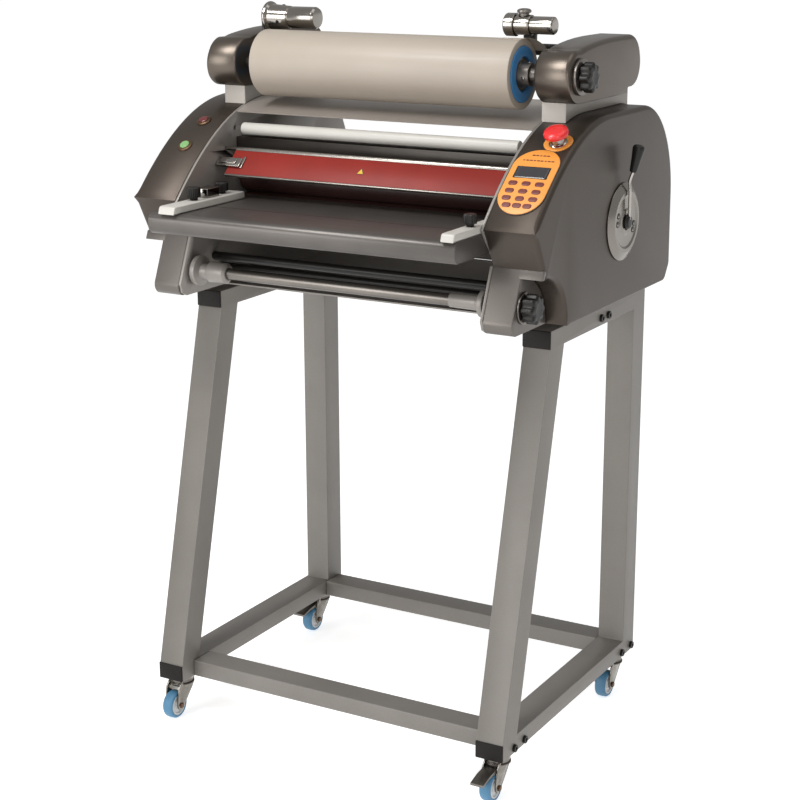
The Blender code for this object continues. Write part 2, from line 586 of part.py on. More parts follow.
along = Vector((0.0, *GUARD_LIP)) - Vector((0.0, *GUARD_TOP))
thick = Vector((0.0, -along.z, along.y)).normalized() * 0.002
corners = [Vector((0.0, *GUARD_TOP)) + thick, Vector((0.0, *GUARD_LIP)) + thick,
           Vector((0.0, *GUARD_LIP)) - thick, Vector((0.0, *GUARD_TOP)) - thick]
guard = slab("heat_guard", [(c.y, c.z) for c in corners], -0.262, 0.262, GUARD_RED)
join(guard, rod("heat_guard_pin", (-0.288, *GUARD_TOP), (0.288, *GUARD_TOP), 0.003,
                cutter=True, sides=16))
reparent(guard, (0.0, *GUARD_TOP))


def edge_guide(tag, low_x, high_x, block):
    """A sheet guide on the table with a clamp block for its thumb knob."""
    guide = box(tag + "_edge_guide", (low_x, FRONT_REACH, TABLE_Z + GAP), (high_x, 0.138, 0.950),
                WHITE_PLASTIC, bevel=0.0015)
    if block:
        join(guide, box(guide.name + "_block", (low_x, 0.040, 0.949), (high_x - 0.008, 0.075, 0.966),
                        cutter=True))
    return guide


left_guide = edge_guide("left", -0.262, -0.230, True)
right_guide = edge_guide("right", 0.262, 0.285, False)
for tag, x, y, radius, top, guide in (
        ("left", -0.248, 0.015, 0.0120, 0.972, left_guide),
        ("right", 0.2735, 0.010, 0.0107, 0.970, right_guide)):
    seat = 0.950 + GAP
    turned(tag + "_guide_knob", [(0.945, 0.003), (seat, 0.003), (seat, radius), (top - 0.001, radius),
                                 (top, radius - 0.001)], (x, y, 0.0), BLACK_PLASTIC,
           axis=(0, 0, 1), sides=24)
    cut(guide, rod(tag + "_guide_stud", (x, y, 0.943), (x, y, 0.960), 0.003 + GAP, cutter=True,
                   sides=16))

turned("pressure_dial", [(COVER_OUT + GAP, 0.065), (0.3825, 0.065), (0.3868, 0.0515),
                         (0.3868, 0.044), (0.3850, 0.040)], (0.0, *DIAL_YZ), BLACK_PLASTIC,
       bore=0.006 + GAP, sides=48)
lever = turned("pressure_lever", [(0.3787, 0.006), (0.3853, 0.006), (0.3853, 0.0125),
                                  (0.3930, 0.0125)], (0.0, *DIAL_YZ), BLACK_PLASTIC)
LEVER_PATH = [(0.3905, 0.915), (0.3903, 0.970), (0.3890, 0.980), (0.3948, 0.999)]
for i, (low_end, high_end) in enumerate(zip(LEVER_PATH, LEVER_PATH[1:])):
    over = (Vector(high_end) - Vector(low_end)).normalized() * 0.0012
    join(lever, rod(f"pressure_lever_arm_{i}", (low_end[0] - over.x, DIAL_YZ[0], low_end[1] - over.y),
                    (high_end[0] + over.x, DIAL_YZ[0], high_end[1] + over.y), 0.0028,
                    cutter=True, sides=16))
join(lever, rod("pressure_lever_grip", (0.3946, DIAL_YZ[0], 0.9982), (0.4046, DIAL_YZ[0], 1.0425),
                0.0062, end_radius=0.0104, cutter=True))

motor = rod("drive_motor", (0.120, 0.470, 0.835), (0.260, 0.470, 0.835), 0.040, MOTOR_CASTING,
            sides=32)
join(motor, box("drive_motor_foot", (0.135, 0.440, 0.7835), (0.245, 0.500, 0.815), cutter=True))
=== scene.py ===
"""Visual model of a stand-mounted hot and cold roll laminator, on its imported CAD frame.

Lengths are metres. Places are written in the machine's own frame (x = 0 midway between the
stand's side frames, y = 0 at the front of the bottom rails, z = 0 on the floor) and moved
into the model's frame by Shapes.origin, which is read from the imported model.
"""
from __future__ import annotations

import json
import logging
import math
from dataclasses import dataclass
from enum import Enum

import bmesh
import bpy
import numpy as np
from mathutils import Matrix, Vector

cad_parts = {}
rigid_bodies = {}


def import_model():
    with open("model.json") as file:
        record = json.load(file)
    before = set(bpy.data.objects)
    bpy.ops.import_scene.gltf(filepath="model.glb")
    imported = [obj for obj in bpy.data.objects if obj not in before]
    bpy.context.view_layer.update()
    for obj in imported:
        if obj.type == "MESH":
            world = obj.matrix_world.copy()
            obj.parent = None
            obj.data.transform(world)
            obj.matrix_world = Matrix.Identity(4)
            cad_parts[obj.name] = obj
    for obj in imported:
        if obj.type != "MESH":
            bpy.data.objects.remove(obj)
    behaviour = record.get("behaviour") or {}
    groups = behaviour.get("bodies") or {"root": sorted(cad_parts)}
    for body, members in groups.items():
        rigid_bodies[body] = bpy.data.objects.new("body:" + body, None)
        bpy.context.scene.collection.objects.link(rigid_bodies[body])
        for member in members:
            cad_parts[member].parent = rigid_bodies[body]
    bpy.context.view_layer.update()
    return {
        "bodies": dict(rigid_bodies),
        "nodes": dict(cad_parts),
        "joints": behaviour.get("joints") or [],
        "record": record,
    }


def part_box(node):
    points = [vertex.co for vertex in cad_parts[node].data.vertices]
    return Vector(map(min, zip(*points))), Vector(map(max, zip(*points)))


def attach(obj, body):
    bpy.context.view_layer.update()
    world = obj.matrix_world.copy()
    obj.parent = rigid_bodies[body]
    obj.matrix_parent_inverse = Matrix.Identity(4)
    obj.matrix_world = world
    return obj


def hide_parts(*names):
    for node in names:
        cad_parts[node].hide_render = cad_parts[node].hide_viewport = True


LOG = logging.getLogger("laminator")
Array = np.ndarray
Colour = tuple[float, float, float]
SIDES = (("left", -1.0), ("right", 1.0))
ACROSS = (1.0, 0.0, 0.0)
UP = (0.0, 0.0, 1.0)
FRONT_CURL = 1.95  # fall of every curved front: height less curl times distance squared
CROWN_FRONT, CROWN_BACK = 0.300, 0.444  # y where the level crowns start and end
CHUCK_AXIS = (0.295, 1.234)  # y and z of the spare-roll chucks


# --------------------------------------------------------------------------------------
# Finishes
# --------------------------------------------------------------------------------------
COAT_ROUGHNESS = 0.12
NOISE_RANGE = (0.3, 0.7)  # noise values between which the gloss swings
GLOSS_RANGE = (0.85, 1.15)  # shares of the mean roughness at the two ends
DRIFT_STOPS = (0.35, 0.65)  # noise values of the darker and the lighter shade
FLAKE_STOPS = (0.50, 0.75)  # noise values where flakes start and reach full strength


class Grain(Enum):
    """How a finish's fine pattern runs."""

    EVEN = (1.0, 1.0, 1.0)
    ALONG_X = (0.02, 1.0, 1.0)
    ALONG_Y = (1.0, 0.02, 1.0)
    ALONG_Z = (1.0, 1.0, 0.02)


@dataclass(frozen=True)
class Finish:
    """A surface finish: a base colour that drifts gently, with fine grain in its gloss.

    Attributes:
        name: Material name.
        colour: Linear base colour.
        roughness: Mean roughness.
        metallic: Metallic weight.
        drift: How far broad patches stray from the base colour, as a share of it.
        patch: Size of those patches, in patches per metre.
        grain: Direction of the fine pattern.
        fineness: Fine pattern, in cells per metre.
        bump: Height of the fine pattern in metres.
        coat: Clear coat weight.
        alpha: Opacity.
        glow: Emission strength.
        specular: Strength of the surface reflection; 0.5 is a plain plastic's.
    """

    name: str
    colour: Colour
    roughness: float
    metallic: float = 0.0
    drift: float = 0.10
    patch: float = 9.0
    grain: Grain = Grain.EVEN
    fineness: float = 900.0
    bump: float = 0.00001
    coat: float = 0.0
    alpha: float = 1.0
    glow: float = 0.0
    specular: float = 0.5

    def build(self) -> bpy.types.Material:
        """Make the node material.

        Returns:
            The material, made once per name.
        """
        if self.name in bpy.data.materials:
            return bpy.data.materials[self.name]
        made = bpy.data.materials.new(self.name)
        made.use_nodes = True
        tree = made.node_tree
        shader = tree.nodes["Principled BSDF"]
        place = tree.nodes.new("ShaderNodeTexCoord")
        broad = self.noise(tree, place, Grain.EVEN, self.patch, 3.0)
        fine = self.noise(tree, place, self.grain, self.fineness, 2.0)
        shader.inputs["Metallic"].default_value = self.metallic
        shader.inputs["Coat Weight"].default_value = self.coat
        shader.inputs["Coat Roughness"].default_value = COAT_ROUGHNESS
        shader.inputs["Alpha"].default_value = self.alpha
        shader.inputs["Specular IOR Level"].default_value = self.specular
        if self.glow:
            shader.inputs["Emission Color"].default_value = (*self.colour, 1.0)
            shader.inputs["Emission Strength"].default_value = self.glow
        tree.links.new(self.colours(tree, broad, fine), shader.inputs["Base Color"])
        gloss = tree.nodes.new("ShaderNodeMapRange")
        gloss.inputs["From Min"].default_value = NOISE_RANGE[0]
        gloss.inputs["From Max"].default_value = NOISE_RANGE[1]
        gloss.inputs["To Min"].default_value = max(0.03, self.roughness * GLOSS_RANGE[0])
        gloss.inputs["To Max"].default_value = min(1.0, self.roughness * GLOSS_RANGE[1])
        tree.links.new(fine.outputs["Fac"], gloss.inputs["Value"])
        tree.links.new(gloss.outputs["Result"], shader.inputs["Roughness"])
        if self.bump:
            relief = tree.nodes.new("ShaderNodeBump")
            relief.inputs["Distance"].default_value = self.bump
            relief.inputs["Strength"].default_value = 1.0
            tree.links.new(fine.outputs["Fac"], relief.inputs["Height"])
            tree.links.new(relief.outputs["Normal"], shader.inputs["Normal"])
        return made

    def noise(self, tree: bpy.types.NodeTree, place: bpy.types.Node, grain: Grain,
              scale: float, detail: float) -> bpy.types.Node:
        """Add a noise on Object coordinates, stretched along the grain.

        Args:
            tree: Node tree of the material.
            place: Texture Coordinate node.
            grain: Direction the pattern is drawn out in.
            scale: Cells per metre.
            detail: Noise detail.

        Returns:
            The noise node.
        """
        stretch = tree.nodes.new("ShaderNodeMapping")
        stretch.inputs["Scale"].default_value = grain.value
        made = tree.nodes.new("ShaderNodeTexNoise")
        made.inputs["Scale"].default_value = scale
        made.inputs["Detail"].default_value = detail
        tree.links.new(place.outputs["Object"], stretch.inputs["Vector"])
        tree.links.new(stretch.outputs["Vector"], made.inputs["Vector"])
        return made

    def colours(self, tree: bpy.types.NodeTree, broad: bpy.types.Node,
                fine: bpy.types.Node) -> bpy.types.NodeSocket:
        """Blend a darker and a lighter shade of the base by the broad noise.

        Args:
            tree: Node tree of the material.
            broad: Broad noise.
            fine: Fine noise, for finishes that scatter flakes by it.

        Returns:
            The colour output.
        """
        ramp = tree.nodes.new("ShaderNodeValToRGB")
        dark = tuple(c * (1.0 - self.drift) for c in self.colour)
        light = tuple(min(1.0, c * (1.0 + self.drift)) for c in self.colour)
        for stop, where, shade in zip(ramp.color_ramp.elements, DRIFT_STOPS, (dark, light)):
            stop.position = where
            stop.color = (*shade, 1.0)
        tree.links.new(broad.outputs["Fac"], ramp.inputs["Fac"])
        return ramp.outputs["Color"]


@dataclass(frozen=True)
class Flake(Finish):
    """Metallic paint: a fine scatter of brighter flakes over the base colour.

    Attributes:
        spark: Strength of the flakes, as a share of the base colour.
    """

    spark: float = 0.25

    def colours(self, tree: bpy.types.NodeTree, broad: bpy.types.Node,
                fine: bpy.types.Node) -> bpy.types.NodeSocket:
        """Lighten the drifting base wherever the fine noise peaks.

        Args:
            tree: Node tree of the material.
            broad: Broad noise.
            fine: Fine noise.

        Returns:
            The colour output.
        """
        base = super().colours(tree, broad, fine)
        peaks = tree.nodes.new("ShaderNodeValToRGB")
        bright = tuple(c * self.spark for c in self.colour)
        for stop, where, shade in zip(peaks.color_ramp.elements, FLAKE_STOPS,
                                      ((0.0, 0.0, 0.0), bright)):
            stop.position = where
            stop.color = (*shade, 1.0)
        add = tree.nodes.new("ShaderNodeMix")
        add.data_type = "RGBA"
        add.blend_type = "ADD"
        add.inputs["Factor"].default_value = 1.0
        tree.links.new(fine.outputs["Fac"], peaks.inputs["Fac"])
        tree.links.new(base, add.inputs["A"])
        tree.links.new(peaks.outputs["Color"], add.inputs["B"])
        return add.outputs["Result"]


STAND_PAINT = Flake("stand_silver_paint", (0.165, 0.152, 0.136), 0.46, 0.12, drift=0.05,
                    fineness=1400.0, spark=0.25)
HOUSING_PAINT = Flake("housing_dark_silver", (0.055, 0.043, 0.034), 0.38, 0.66, drift=0.06,
                      fineness=1800.0, spark=0.35)
CASTING_PAINT = Flake("bracket_silver", (0.112, 0.094, 0.078), 0.34, 0.92, drift=0.05,
                      fineness=1800.0, spark=0.35)
NECK_METAL = Finish("neck_bright_panel", (0.310, 0.285, 0.255), 0.42, 0.20, drift=0.06)
TOP_METAL = Flake("top_sheet_paint", (0.290, 0.258, 0.228), 0.40, 0.30, drift=0.05,
                  fineness=1500.0, spark=0.20)
HOOD_METAL = Finish("heater_dark_metal", (0.040, 0.034, 0.029), 0.35, 0.60, drift=0.15,
                    grain=Grain.ALONG_X, fineness=500.0)
FORK_METAL = Finish("caster_fork_plate", (0.230, 0.215, 0.190), 0.20, 1.0, drift=0.25,
                    patch=60.0)
DIAL_METAL = Finish("dial_machined_steel", (0.240, 0.222, 0.200), 0.24, 1.0, drift=0.10,
                    fineness=1200.0, bump=0.000004)
BOX_PAINT = Flake("take_up_box_silver", (0.118, 0.106, 0.095), 0.36, 0.65, drift=0.05,
                  fineness=1800.0, spark=0.30)
PANEL_PAINT = Flake("panel_silver_paint", (0.220, 0.201, 0.182), 0.40, 0.28, drift=0.05,
                    fineness=1500.0, spark=0.20)
TABLE_METAL = Finish("table_brushed_metal", (0.096, 0.087, 0.080), 0.36, 0.60,
                     grain=Grain.ALONG_X, fineness=700.0, bump=0.000006)
BLACK = Finish("black_moulding", (0.009, 0.008, 0.007), 0.36, drift=0.2, bump=0.00002,
               specular=0.28)
BLACK_RUBBER = Finish("black_rubber", (0.010, 0.008, 0.007), 0.60, drift=0.2, bump=0.00003,
                      specular=0.20)
WHITE = Finish("white_acetal", (0.450, 0.435, 0.400), 0.42, drift=0.04)
STEEL = Finish("turned_steel", (0.420, 0.395, 0.365), 0.22, 1.0, grain=Grain.ALONG_X,
               fineness=1200.0, bump=0.000004)
DULL_STEEL = Finish("plated_steel", (0.170, 0.155, 0.140), 0.34, 0.95, drift=0.12)
CHROME = Finish("chrome", (0.300, 0.280, 0.255), 0.13, 1.0, drift=0.08, bump=0.0)
TREAD = Finish("blue_tread", (0.060, 0.180, 0.300), 0.50, drift=0.15)
WHEEL_HUB = Finish("white_wheel_hub", (0.520, 0.530, 0.530), 0.45, drift=0.06)
BRONZE = Finish("bronze_bush", (0.120, 0.070, 0.040), 0.40, 0.85, drift=0.2)
FILM = Finish("cream_film", (0.323, 0.280, 0.231), 0.46, drift=0.03, grain=Grain.ALONG_X,
              fineness=400.0, bump=0.000008)
CORE = Finish("blue_core", (0.030, 0.150, 0.330), 0.45, drift=0.15)
ROLLER = Finish("silicone_roller", (0.035, 0.014, 0.012), 0.45, drift=0.10)
GUARD = Finish("red_guard", (0.225, 0.018, 0.012), 0.42, drift=0.10, alpha=0.88,
               specular=0.22)
ORANGE = Finish("panel_orange", (0.290, 0.108, 0.017), 0.46, drift=0.06, specular=0.35)
LCD = Finish("display_glass", (0.026, 0.024, 0.028), 0.16, drift=0.10, coat=0.4)
KEY_RED = Finish("key_dark_red", (0.120, 0.014, 0.010), 0.42, drift=0.08)
RED = Finish("signal_red", (0.190, 0.008, 0.010), 0.34, drift=0.05, coat=0.15)
DARK_RED = Finish("push_button_red", (0.100, 0.006, 0.006), 0.30, drift=0.06, coat=0.2)
GREEN = Finish("signal_green", (0.050, 0.095, 0.038), 0.32, drift=0.05, coat=0.3)
YELLOW = Finish("triangle_yellow", (0.560, 0.330, 0.020), 0.40, drift=0.02)
INK = Finish("dark_ink", (0.022, 0.009, 0.006), 0.50, drift=0.02)


# --------------------------------------------------------------------------------------
# Surfaces
# --------------------------------------------------------------------------------------
class Shapes:
    """Numpy surfaces, made in the machine's frame and moved into the model's frame."""

    origin: Array = np.zeros(3)

    @classmethod
    def settle(cls) -> None:
        """Read the machine's origin: midway between the side frames, at their front."""
        left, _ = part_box("left_side_frame")
        _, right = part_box("right_side_frame")
        cls.origin = np.array([(left[0] + right[0]) / 2, left[1], 0.0])

    @classmethod
    def mesh(cls, name: str, points: Array, faces: list, finish: Finish,
             crease: float = 35.0) -> bpy.types.Object:
        """Put points and faces into an object, close its seams and shade it.

        Args:
            name: Object name.
            points: (n, 3) places in the machine's frame.
            faces: Corner indices of each face.
            finish: Surface finish.
            crease: Edges sharper than this many degrees stay crisp.

        Returns:
            The object, at the origin.
        """
        made = bpy.data.meshes.new(name)
        made.from_pydata(np.asarray(points) + cls.origin, [], faces)
        work = bmesh.new()
        work.from_mesh(made)
        bmesh.ops.remove_doubles(work, verts=work.verts, dist=1e-7)
        bmesh.ops.dissolve_degenerate(work, edges=work.edges, dist=1e-8)
        bmesh.ops.recalc_face_normals(work, faces=work.faces)
        work.to_mesh(made)
        work.free()
        made.shade_smooth()
        made.set_sharp_from_angle(angle=math.radians(crease))
        made.materials.append(finish.build())
        piece = bpy.data.objects.new(name, made)
        bpy.context.scene.collection.objects.link(piece)
        return piece

    @staticmethod
    def quads(rows: int, columns: int, wrap: bool) -> list:
        """Faces of a grid: each cell's four corners, the last column joined to the first.

        Args:
            rows: Points along the first parameter.
            columns: Points along the second.
            wrap: Whether the second parameter closes.

        Returns:
            Corner indices.
        """
        i, j = np.meshgrid(np.arange(rows - 1), np.arange(columns if wrap else columns - 1),
                           indexing="ij")
        k = (j + 1) % columns
        return np.stack([i * columns + j, i * columns + k, (i + 1) * columns + k,
                         (i + 1) * columns + j], -1).reshape(-1, 4).tolist()

    @classmethod
    def turned(cls, name: str, steps: Array, centre: Array, axis: Array, finish: Finish,
               sides: int = 64, ring: bool = False, lobes: tuple[int, float] = (0, 0.0),
               crease: float = 35.0) -> bpy.types.Object:
        """Solid of revolution: point = centre + axis * a + r * (u cos t + v sin t).

        Args:
            name: Object name.
            steps: (n, 2) distance along the axis and radius.
            centre: Point that distances are measured from.
            axis: Direction of the axis.
            finish: Surface finish.
            sides: Points round the axis.
            ring: Whether the profile closes on itself, as a sleeve's does.
            lobes: Number of grip lobes and their depth as a share of the radius; the
                radius is r * (1 - depth * (1 - cos(lobes * t)) / 2).
            crease: Edges sharper than this many degrees stay crisp.

        Returns:
            The object.
        """
        steps = np.asarray(steps, float)
        if ring:
            steps = np.vstack([steps, steps[:1]])
        axis = np.asarray(axis, float) / np.linalg.norm(axis)
        helper = np.array(UP if abs(axis[2]) < 0.9 else ACROSS)
        u = np.cross(axis, helper)
        u /= np.linalg.norm(u)
        v = np.cross(axis, u)
        turn = np.linspace(0.0, 2 * math.pi, sides, endpoint=False)
        radius = steps[:, 1, None] * (1 - lobes[1] * (1 - np.cos(lobes[0] * turn)) / 2)
        round_axis = (np.cos(turn)[:, None] * u + np.sin(turn)[:, None] * v)
        points = (np.asarray(centre) + steps[:, 0, None, None] * axis
                  + radius[:, :, None] * round_axis)
        return cls.mesh(name, points.reshape(-1, 3), cls.quads(len(steps), sides, True), finish,
                        crease)

    @classmethod
    def slab(cls, name: str, outline: Array, x_from: float, x_to: float, edge: Array | float,
             finish: Finish, rounds: int = 5, inner_edge: float = 0.0008,
             crease: float = 35.0) -> bpy.types.Object:
        """Side-view outline carried along x, with its far rim rolled over a radius.

        At angle t the ring stands at x_to - edge * (1 - sin t) and is drawn in by
        edge * (1 - cos t) along the outline's corner normals, with t from 0 to 90 degrees.

        Args:
            name: Object name.
            outline: (n, 2) closed outline of (y, z).
            x_from: x of the plain end.
            x_to: x of the rolled end.
            edge: Roll radius, one value or one per outline point.
            finish: Surface finish.
            rounds: Steps across the roll.
            inner_edge: Small chamfer at the plain end.
            crease: Edges sharper than this many degrees stay crisp.

        Returns:
            The object.
        """
        outline = np.asarray(outline, float)
        edge = np.broadcast_to(edge, len(outline))
        way = math.copysign(1.0, x_to - x_from)
        inward = cls.corner_normals(outline)
        t = np.linspace(0.0, math.pi / 2, rounds + 1)[:, None]
        rolled = outline + (edge * (1 - np.cos(t)))[:, :, None] * inward
        x_rolled = x_to - way * edge * (1 - np.sin(t))
        first = outline + inner_edge * inward
        rings = np.concatenate([first[None], outline[None], rolled])
        x = np.concatenate([np.full((1, len(outline)), x_from),
                            np.full((1, len(outline)), x_from + way * inner_edge), x_rolled])
        points = np.dstack([x, rings[:, :, 0], rings[:, :, 1]])
        count = len(outline)
        faces = cls.quads(len(rings), count, True)
        faces += [list(range(count)), list(range((len(rings) - 1) * count, len(rings) * count))]
        return cls.mesh(name, points.reshape(-1, 3), faces, finish, crease)

    @staticmethod
    def corner_normals(outline: Array) -> Array:
        """Inward mitre vector of each corner: (n1 + n2) / (1 + n1 . n2).

        Args:
            outline: (n, 2) closed outline.

        Returns:
            (n, 2) vectors that move every side in by one unit.
        """
        along = np.roll(outline, -1, 0) - outline
        along /= np.maximum(np.linalg.norm(along, axis=1, keepdims=True), 1e-9)
        area = np.sum(outline[:, 0] * np.roll(outline[:, 1], -1)
                      - np.roll(outline[:, 0], -1) * outline[:, 1])
        after = np.stack([-along[:, 1], along[:, 0]], 1) * math.copysign(1.0, area)
        before = np.roll(after, 1, 0)
        return (before + after) / (1.0 + np.sum(before * after, 1, keepdims=True)).clip(0.25)

    @classmethod
    def swept(cls, name: str, path: Array, radii: Array, finish: Finish, sides: int = 24,
              side_way: Array = (0.0, 1.0, 0.0)) -> bpy.types.Object:
        """Round bar along a path: each ring is r * (cos t * s + sin t * b).

        Here s is the given sideways direction and b is at right angles to it and the path.

        Args:
            name: Object name.
            path: (n, 3) points.
            radii: Radius at each point; flat faces close the ends.
            finish: Surface finish.
            sides: Points round the bar.
            side_way: Direction at right angles to the whole path.

        Returns:
            The object.
        """
        path, radii = np.asarray(path, float), np.asarray(radii, float)
        side = np.asarray(side_way, float)
        along = np.gradient(path, axis=0)
        along /= np.maximum(np.linalg.norm(along, axis=1, keepdims=True), 1e-9)
        across = np.cross(along, side)
        across /= np.maximum(np.linalg.norm(across, axis=1, keepdims=True), 1e-9)
        t = np.linspace(0.0, 2 * math.pi, sides, endpoint=False)
        rings = (np.cos(t)[None, :, None] * side
                 + np.sin(t)[None, :, None] * across[:, None, :])
        points = path[:, None, :] + radii[:, None, None] * rings
        faces = cls.quads(len(path), sides, True)
        faces += [list(range(sides)), list(range((len(path) - 1) * sides, len(path) * sides))]
        return cls.mesh(name, points.reshape(-1, 3), faces, finish)

    @staticmethod
    def rounded(corners: Array, radius: Array | float, steps: int = 6) -> Array:
        """Closed outline whose corners are circular arcs.

        Each arc runs between the points t = r tan(turn / 2) before and after its corner, as
        the rational quadratic with middle weight cos(turn / 2), which is a true circle.

        Args:
            corners: (n, 2) corners in order.
            radius: Arc radius, one value or one per corner.
            steps: Pieces per arc.

        Returns:
            (n * (steps + 1), 2) outline.
        """
        corners = np.asarray(corners, float)
        radius = np.broadcast_to(np.asarray(radius, float), len(corners))
        back, ahead = np.roll(corners, 1, 0) - corners, np.roll(corners, -1, 0) - corners
        reach_b, reach_a = np.linalg.norm(back, axis=1), np.linalg.norm(ahead, axis=1)
        back, ahead = back / reach_b[:, None], ahead / reach_a[:, None]
        turn = math.pi - np.arccos(np.clip(np.sum(back * ahead, 1), -1.0, 1.0))
        run = np.minimum(radius * np.tan(turn / 2), 0.499 * np.minimum(reach_a, reach_b))
        start, end = corners + back * run[:, None], corners + ahead * run[:, None]
        u = np.linspace(0.0, 1.0, steps + 1)[None, :, None]
        middle = 2 * u * (1 - u) * np.cos(turn / 2)[:, None, None]
        weights = (1 - u) ** 2 + middle + u ** 2
        curve = ((1 - u) ** 2 * start[:, None] + middle * corners[:, None]
                 + u ** 2 * end[:, None]) / weights
        return curve.reshape(-1, 2)

    @staticmethod
    def arc(centre: tuple[float, float], radius: float, start: float, end: float,
            count: int, tall: float | None = None) -> Array:
        """Elliptic arc: centre + (r cos t, tall sin t), t in degrees from start to end."""
        t = np.radians(np.linspace(start, end, count))
        return np.stack([centre[0] + radius * np.cos(t),
                         centre[1] + (radius if tall is None else tall) * np.sin(t)], 1)

    @staticmethod
    def profile(steps: list[tuple[float, float]], radius: float = 0.0008,
                rounds: int = 3) -> Array:
        """Open turning profile with its inner corners eased by the given radius.

        Args:
            steps: (distance, radius) corners; the ends are kept.
            radius: Ease radius.
            rounds: Steps per corner.

        Returns:
            The eased profile.
        """
        corners = np.asarray(steps, float)
        eased = Shapes.rounded(corners, radius, rounds).reshape(len(corners), -1, 2)
        return np.vstack([corners[:1], eased[1:-1].reshape(-1, 2), corners[-1:]])


FRAME: dict = {}
WELD_DISTANCE = 0.00001
EASED_ANGLE = 38  # edges of dressed CAD nodes sharper than this many degrees are eased


def dress(node: str, finish: Finish, edge: float = 0.0, rounds: int = 2) -> None:
    """Give a CAD node its finish, and ease its edges with live modifiers.

    Args:
        node: CAD node name.
        finish: Surface finish.
        edge: Edge radius in metres; none if zero.
        rounds: Segments across the edge.
    """
    piece = FRAME["nodes"][node]
    piece.data.materials.clear()
    piece.data.materials.append(finish.build())
    LOG.info("%s dressed in %s", node, finish.name)
    if edge:
        weld = piece.modifiers.new("weld", "WELD")
        weld.merge_threshold = WELD_DISTANCE
        ease = piece.modifiers.new("ease", "BEVEL")
        ease.width = edge
        ease.segments = rounds
        ease.limit_method = "ANGLE"
        ease.angle_limit = math.radians(EASED_ANGLE)
        ease.harden_normals = True
        piece.data.polygons.foreach_set("use_smooth", np.ones(len(piece.data.polygons), bool))


def span(node: str) -> tuple[Array, Array]:
    """Lowest and highest corner of a CAD node in the machine's frame."""
    low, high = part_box(node)
    return np.array(low) - Shapes.origin, np.array(high) - Shapes.origin


def inner_outer(node: str, side: float) -> tuple[float, float]:
    """x of a CAD node's end towards the middle and of its outer end, on side -1 or 1."""
    low, high = span(node)
    return (low[0], high[0]) if side > 0 else (high[0], low[0])


def axle_of(node: str) -> tuple[Array, float, float]:
    """Centre, radius and half length of a turned CAD node that lies along x."""
    low, high = span(node)
    return (low + high) / 2, (high[2] - low[2]) / 2, (high[0] - low[0]) / 2


def settle(piece: bpy.types.Object, body: str, slot: str, *nodes: str) -> bpy.types.Object:
    """Tie a new piece to its body, and let it stand for CAD nodes.

    Args:
        piece: New object.
        body: CAD body it moves with.
        slot: Material slot of the record; not used.
        nodes: CAD nodes it replaces.

    Returns:
        The same object.
    """
    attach(piece, body)
    if nodes:
        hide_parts(*nodes)
    LOG.info("%s rides on %s", piece.name, body)
    return piece


def screw(name: str, place: Array, normal: Array, body: str, radius: float = 0.004,
          finish: Finish = DULL_STEEL) -> None:
    """Dome-headed screw standing on a surface.

    Args:
        name: Object name.
        place: Point on the surface.
        normal: Outward direction.
        body: CAD body it moves with.
        radius: Head radius.
        finish: Surface finish.
    """
    rise = radius * 0.55
    steps = np.array([(-0.0004, radius * 0.98), (rise * 0.25, radius), (rise * 0.75, radius * 0.8),
                      (rise, radius * 0.5), (rise * 0.98, radius * 0.42),
                      (rise * 0.45, radius * 0.38), (rise * 0.40, 0.0)])
    steps = np.vstack([[(-0.0004, 0.0)], steps])
    settle(Shapes.turned(name, steps, place, normal, finish, sides=20), body, "bright_steel")


@dataclass
class Stand:
    """Welded tube stand on four casters.

    Attributes:
        tube_edge: Outer corner radius of the square tube.
    """

    tube_edge: float = 0.0032

    def build(self) -> None:
        """Dress the frames, rails and caps, and add bolts and casters."""
        for node in ("left_side_frame", "right_side_frame", "front_cross_rail",
                     "rear_cross_rail", "top_cross_rail"):
            dress(node, STAND_PAINT, self.tube_edge, 3)
        for node in ("left_bottom_cap", "right_bottom_cap", "left_top_cap", "right_top_cap"):
            dress(node, BLACK_RUBBER, 0.0012)
        self.bolts()
        for corner in ("front_left", "front_right", "rear_left", "rear_right"):
            Caster(corner).build()

    def bolts(self) -> None:
        """Two cap screws through each end of each cross rail."""
        for tag, side in SIDES:
            _, face = inner_outer(f"{tag}_side_frame", side)
            for rail, apart, lift in (("front", 0.0188, 0.010), ("rear", 0.0215, 0.010),
                                      ("top", 0.0148, 0.013)):
                r_low, r_high = span(f"{rail}_cross_rail")
                for i, away in enumerate((-apart, apart)):
                    place = np.array([face, (r_low[1] + r_high[1]) / 2 + away, r_low[2] + lift])
                    head = Shapes.profile([(0.0, 0.0), (0.0, 0.0066), (0.0045, 0.0066),
                                           (0.0050, 0.0058), (0.0050, 0.0032),
                                           (0.0022, 0.0030), (0.0022, 0.0)], 0.0004)
                    head[:, 0] -= 0.0002
                    settle(Shapes.turned(f"{tag}_{rail}_rail_bolt_{i}", head, place,
                                         (side, 0, 0), BLACK, 32), "machine", "bright_steel")


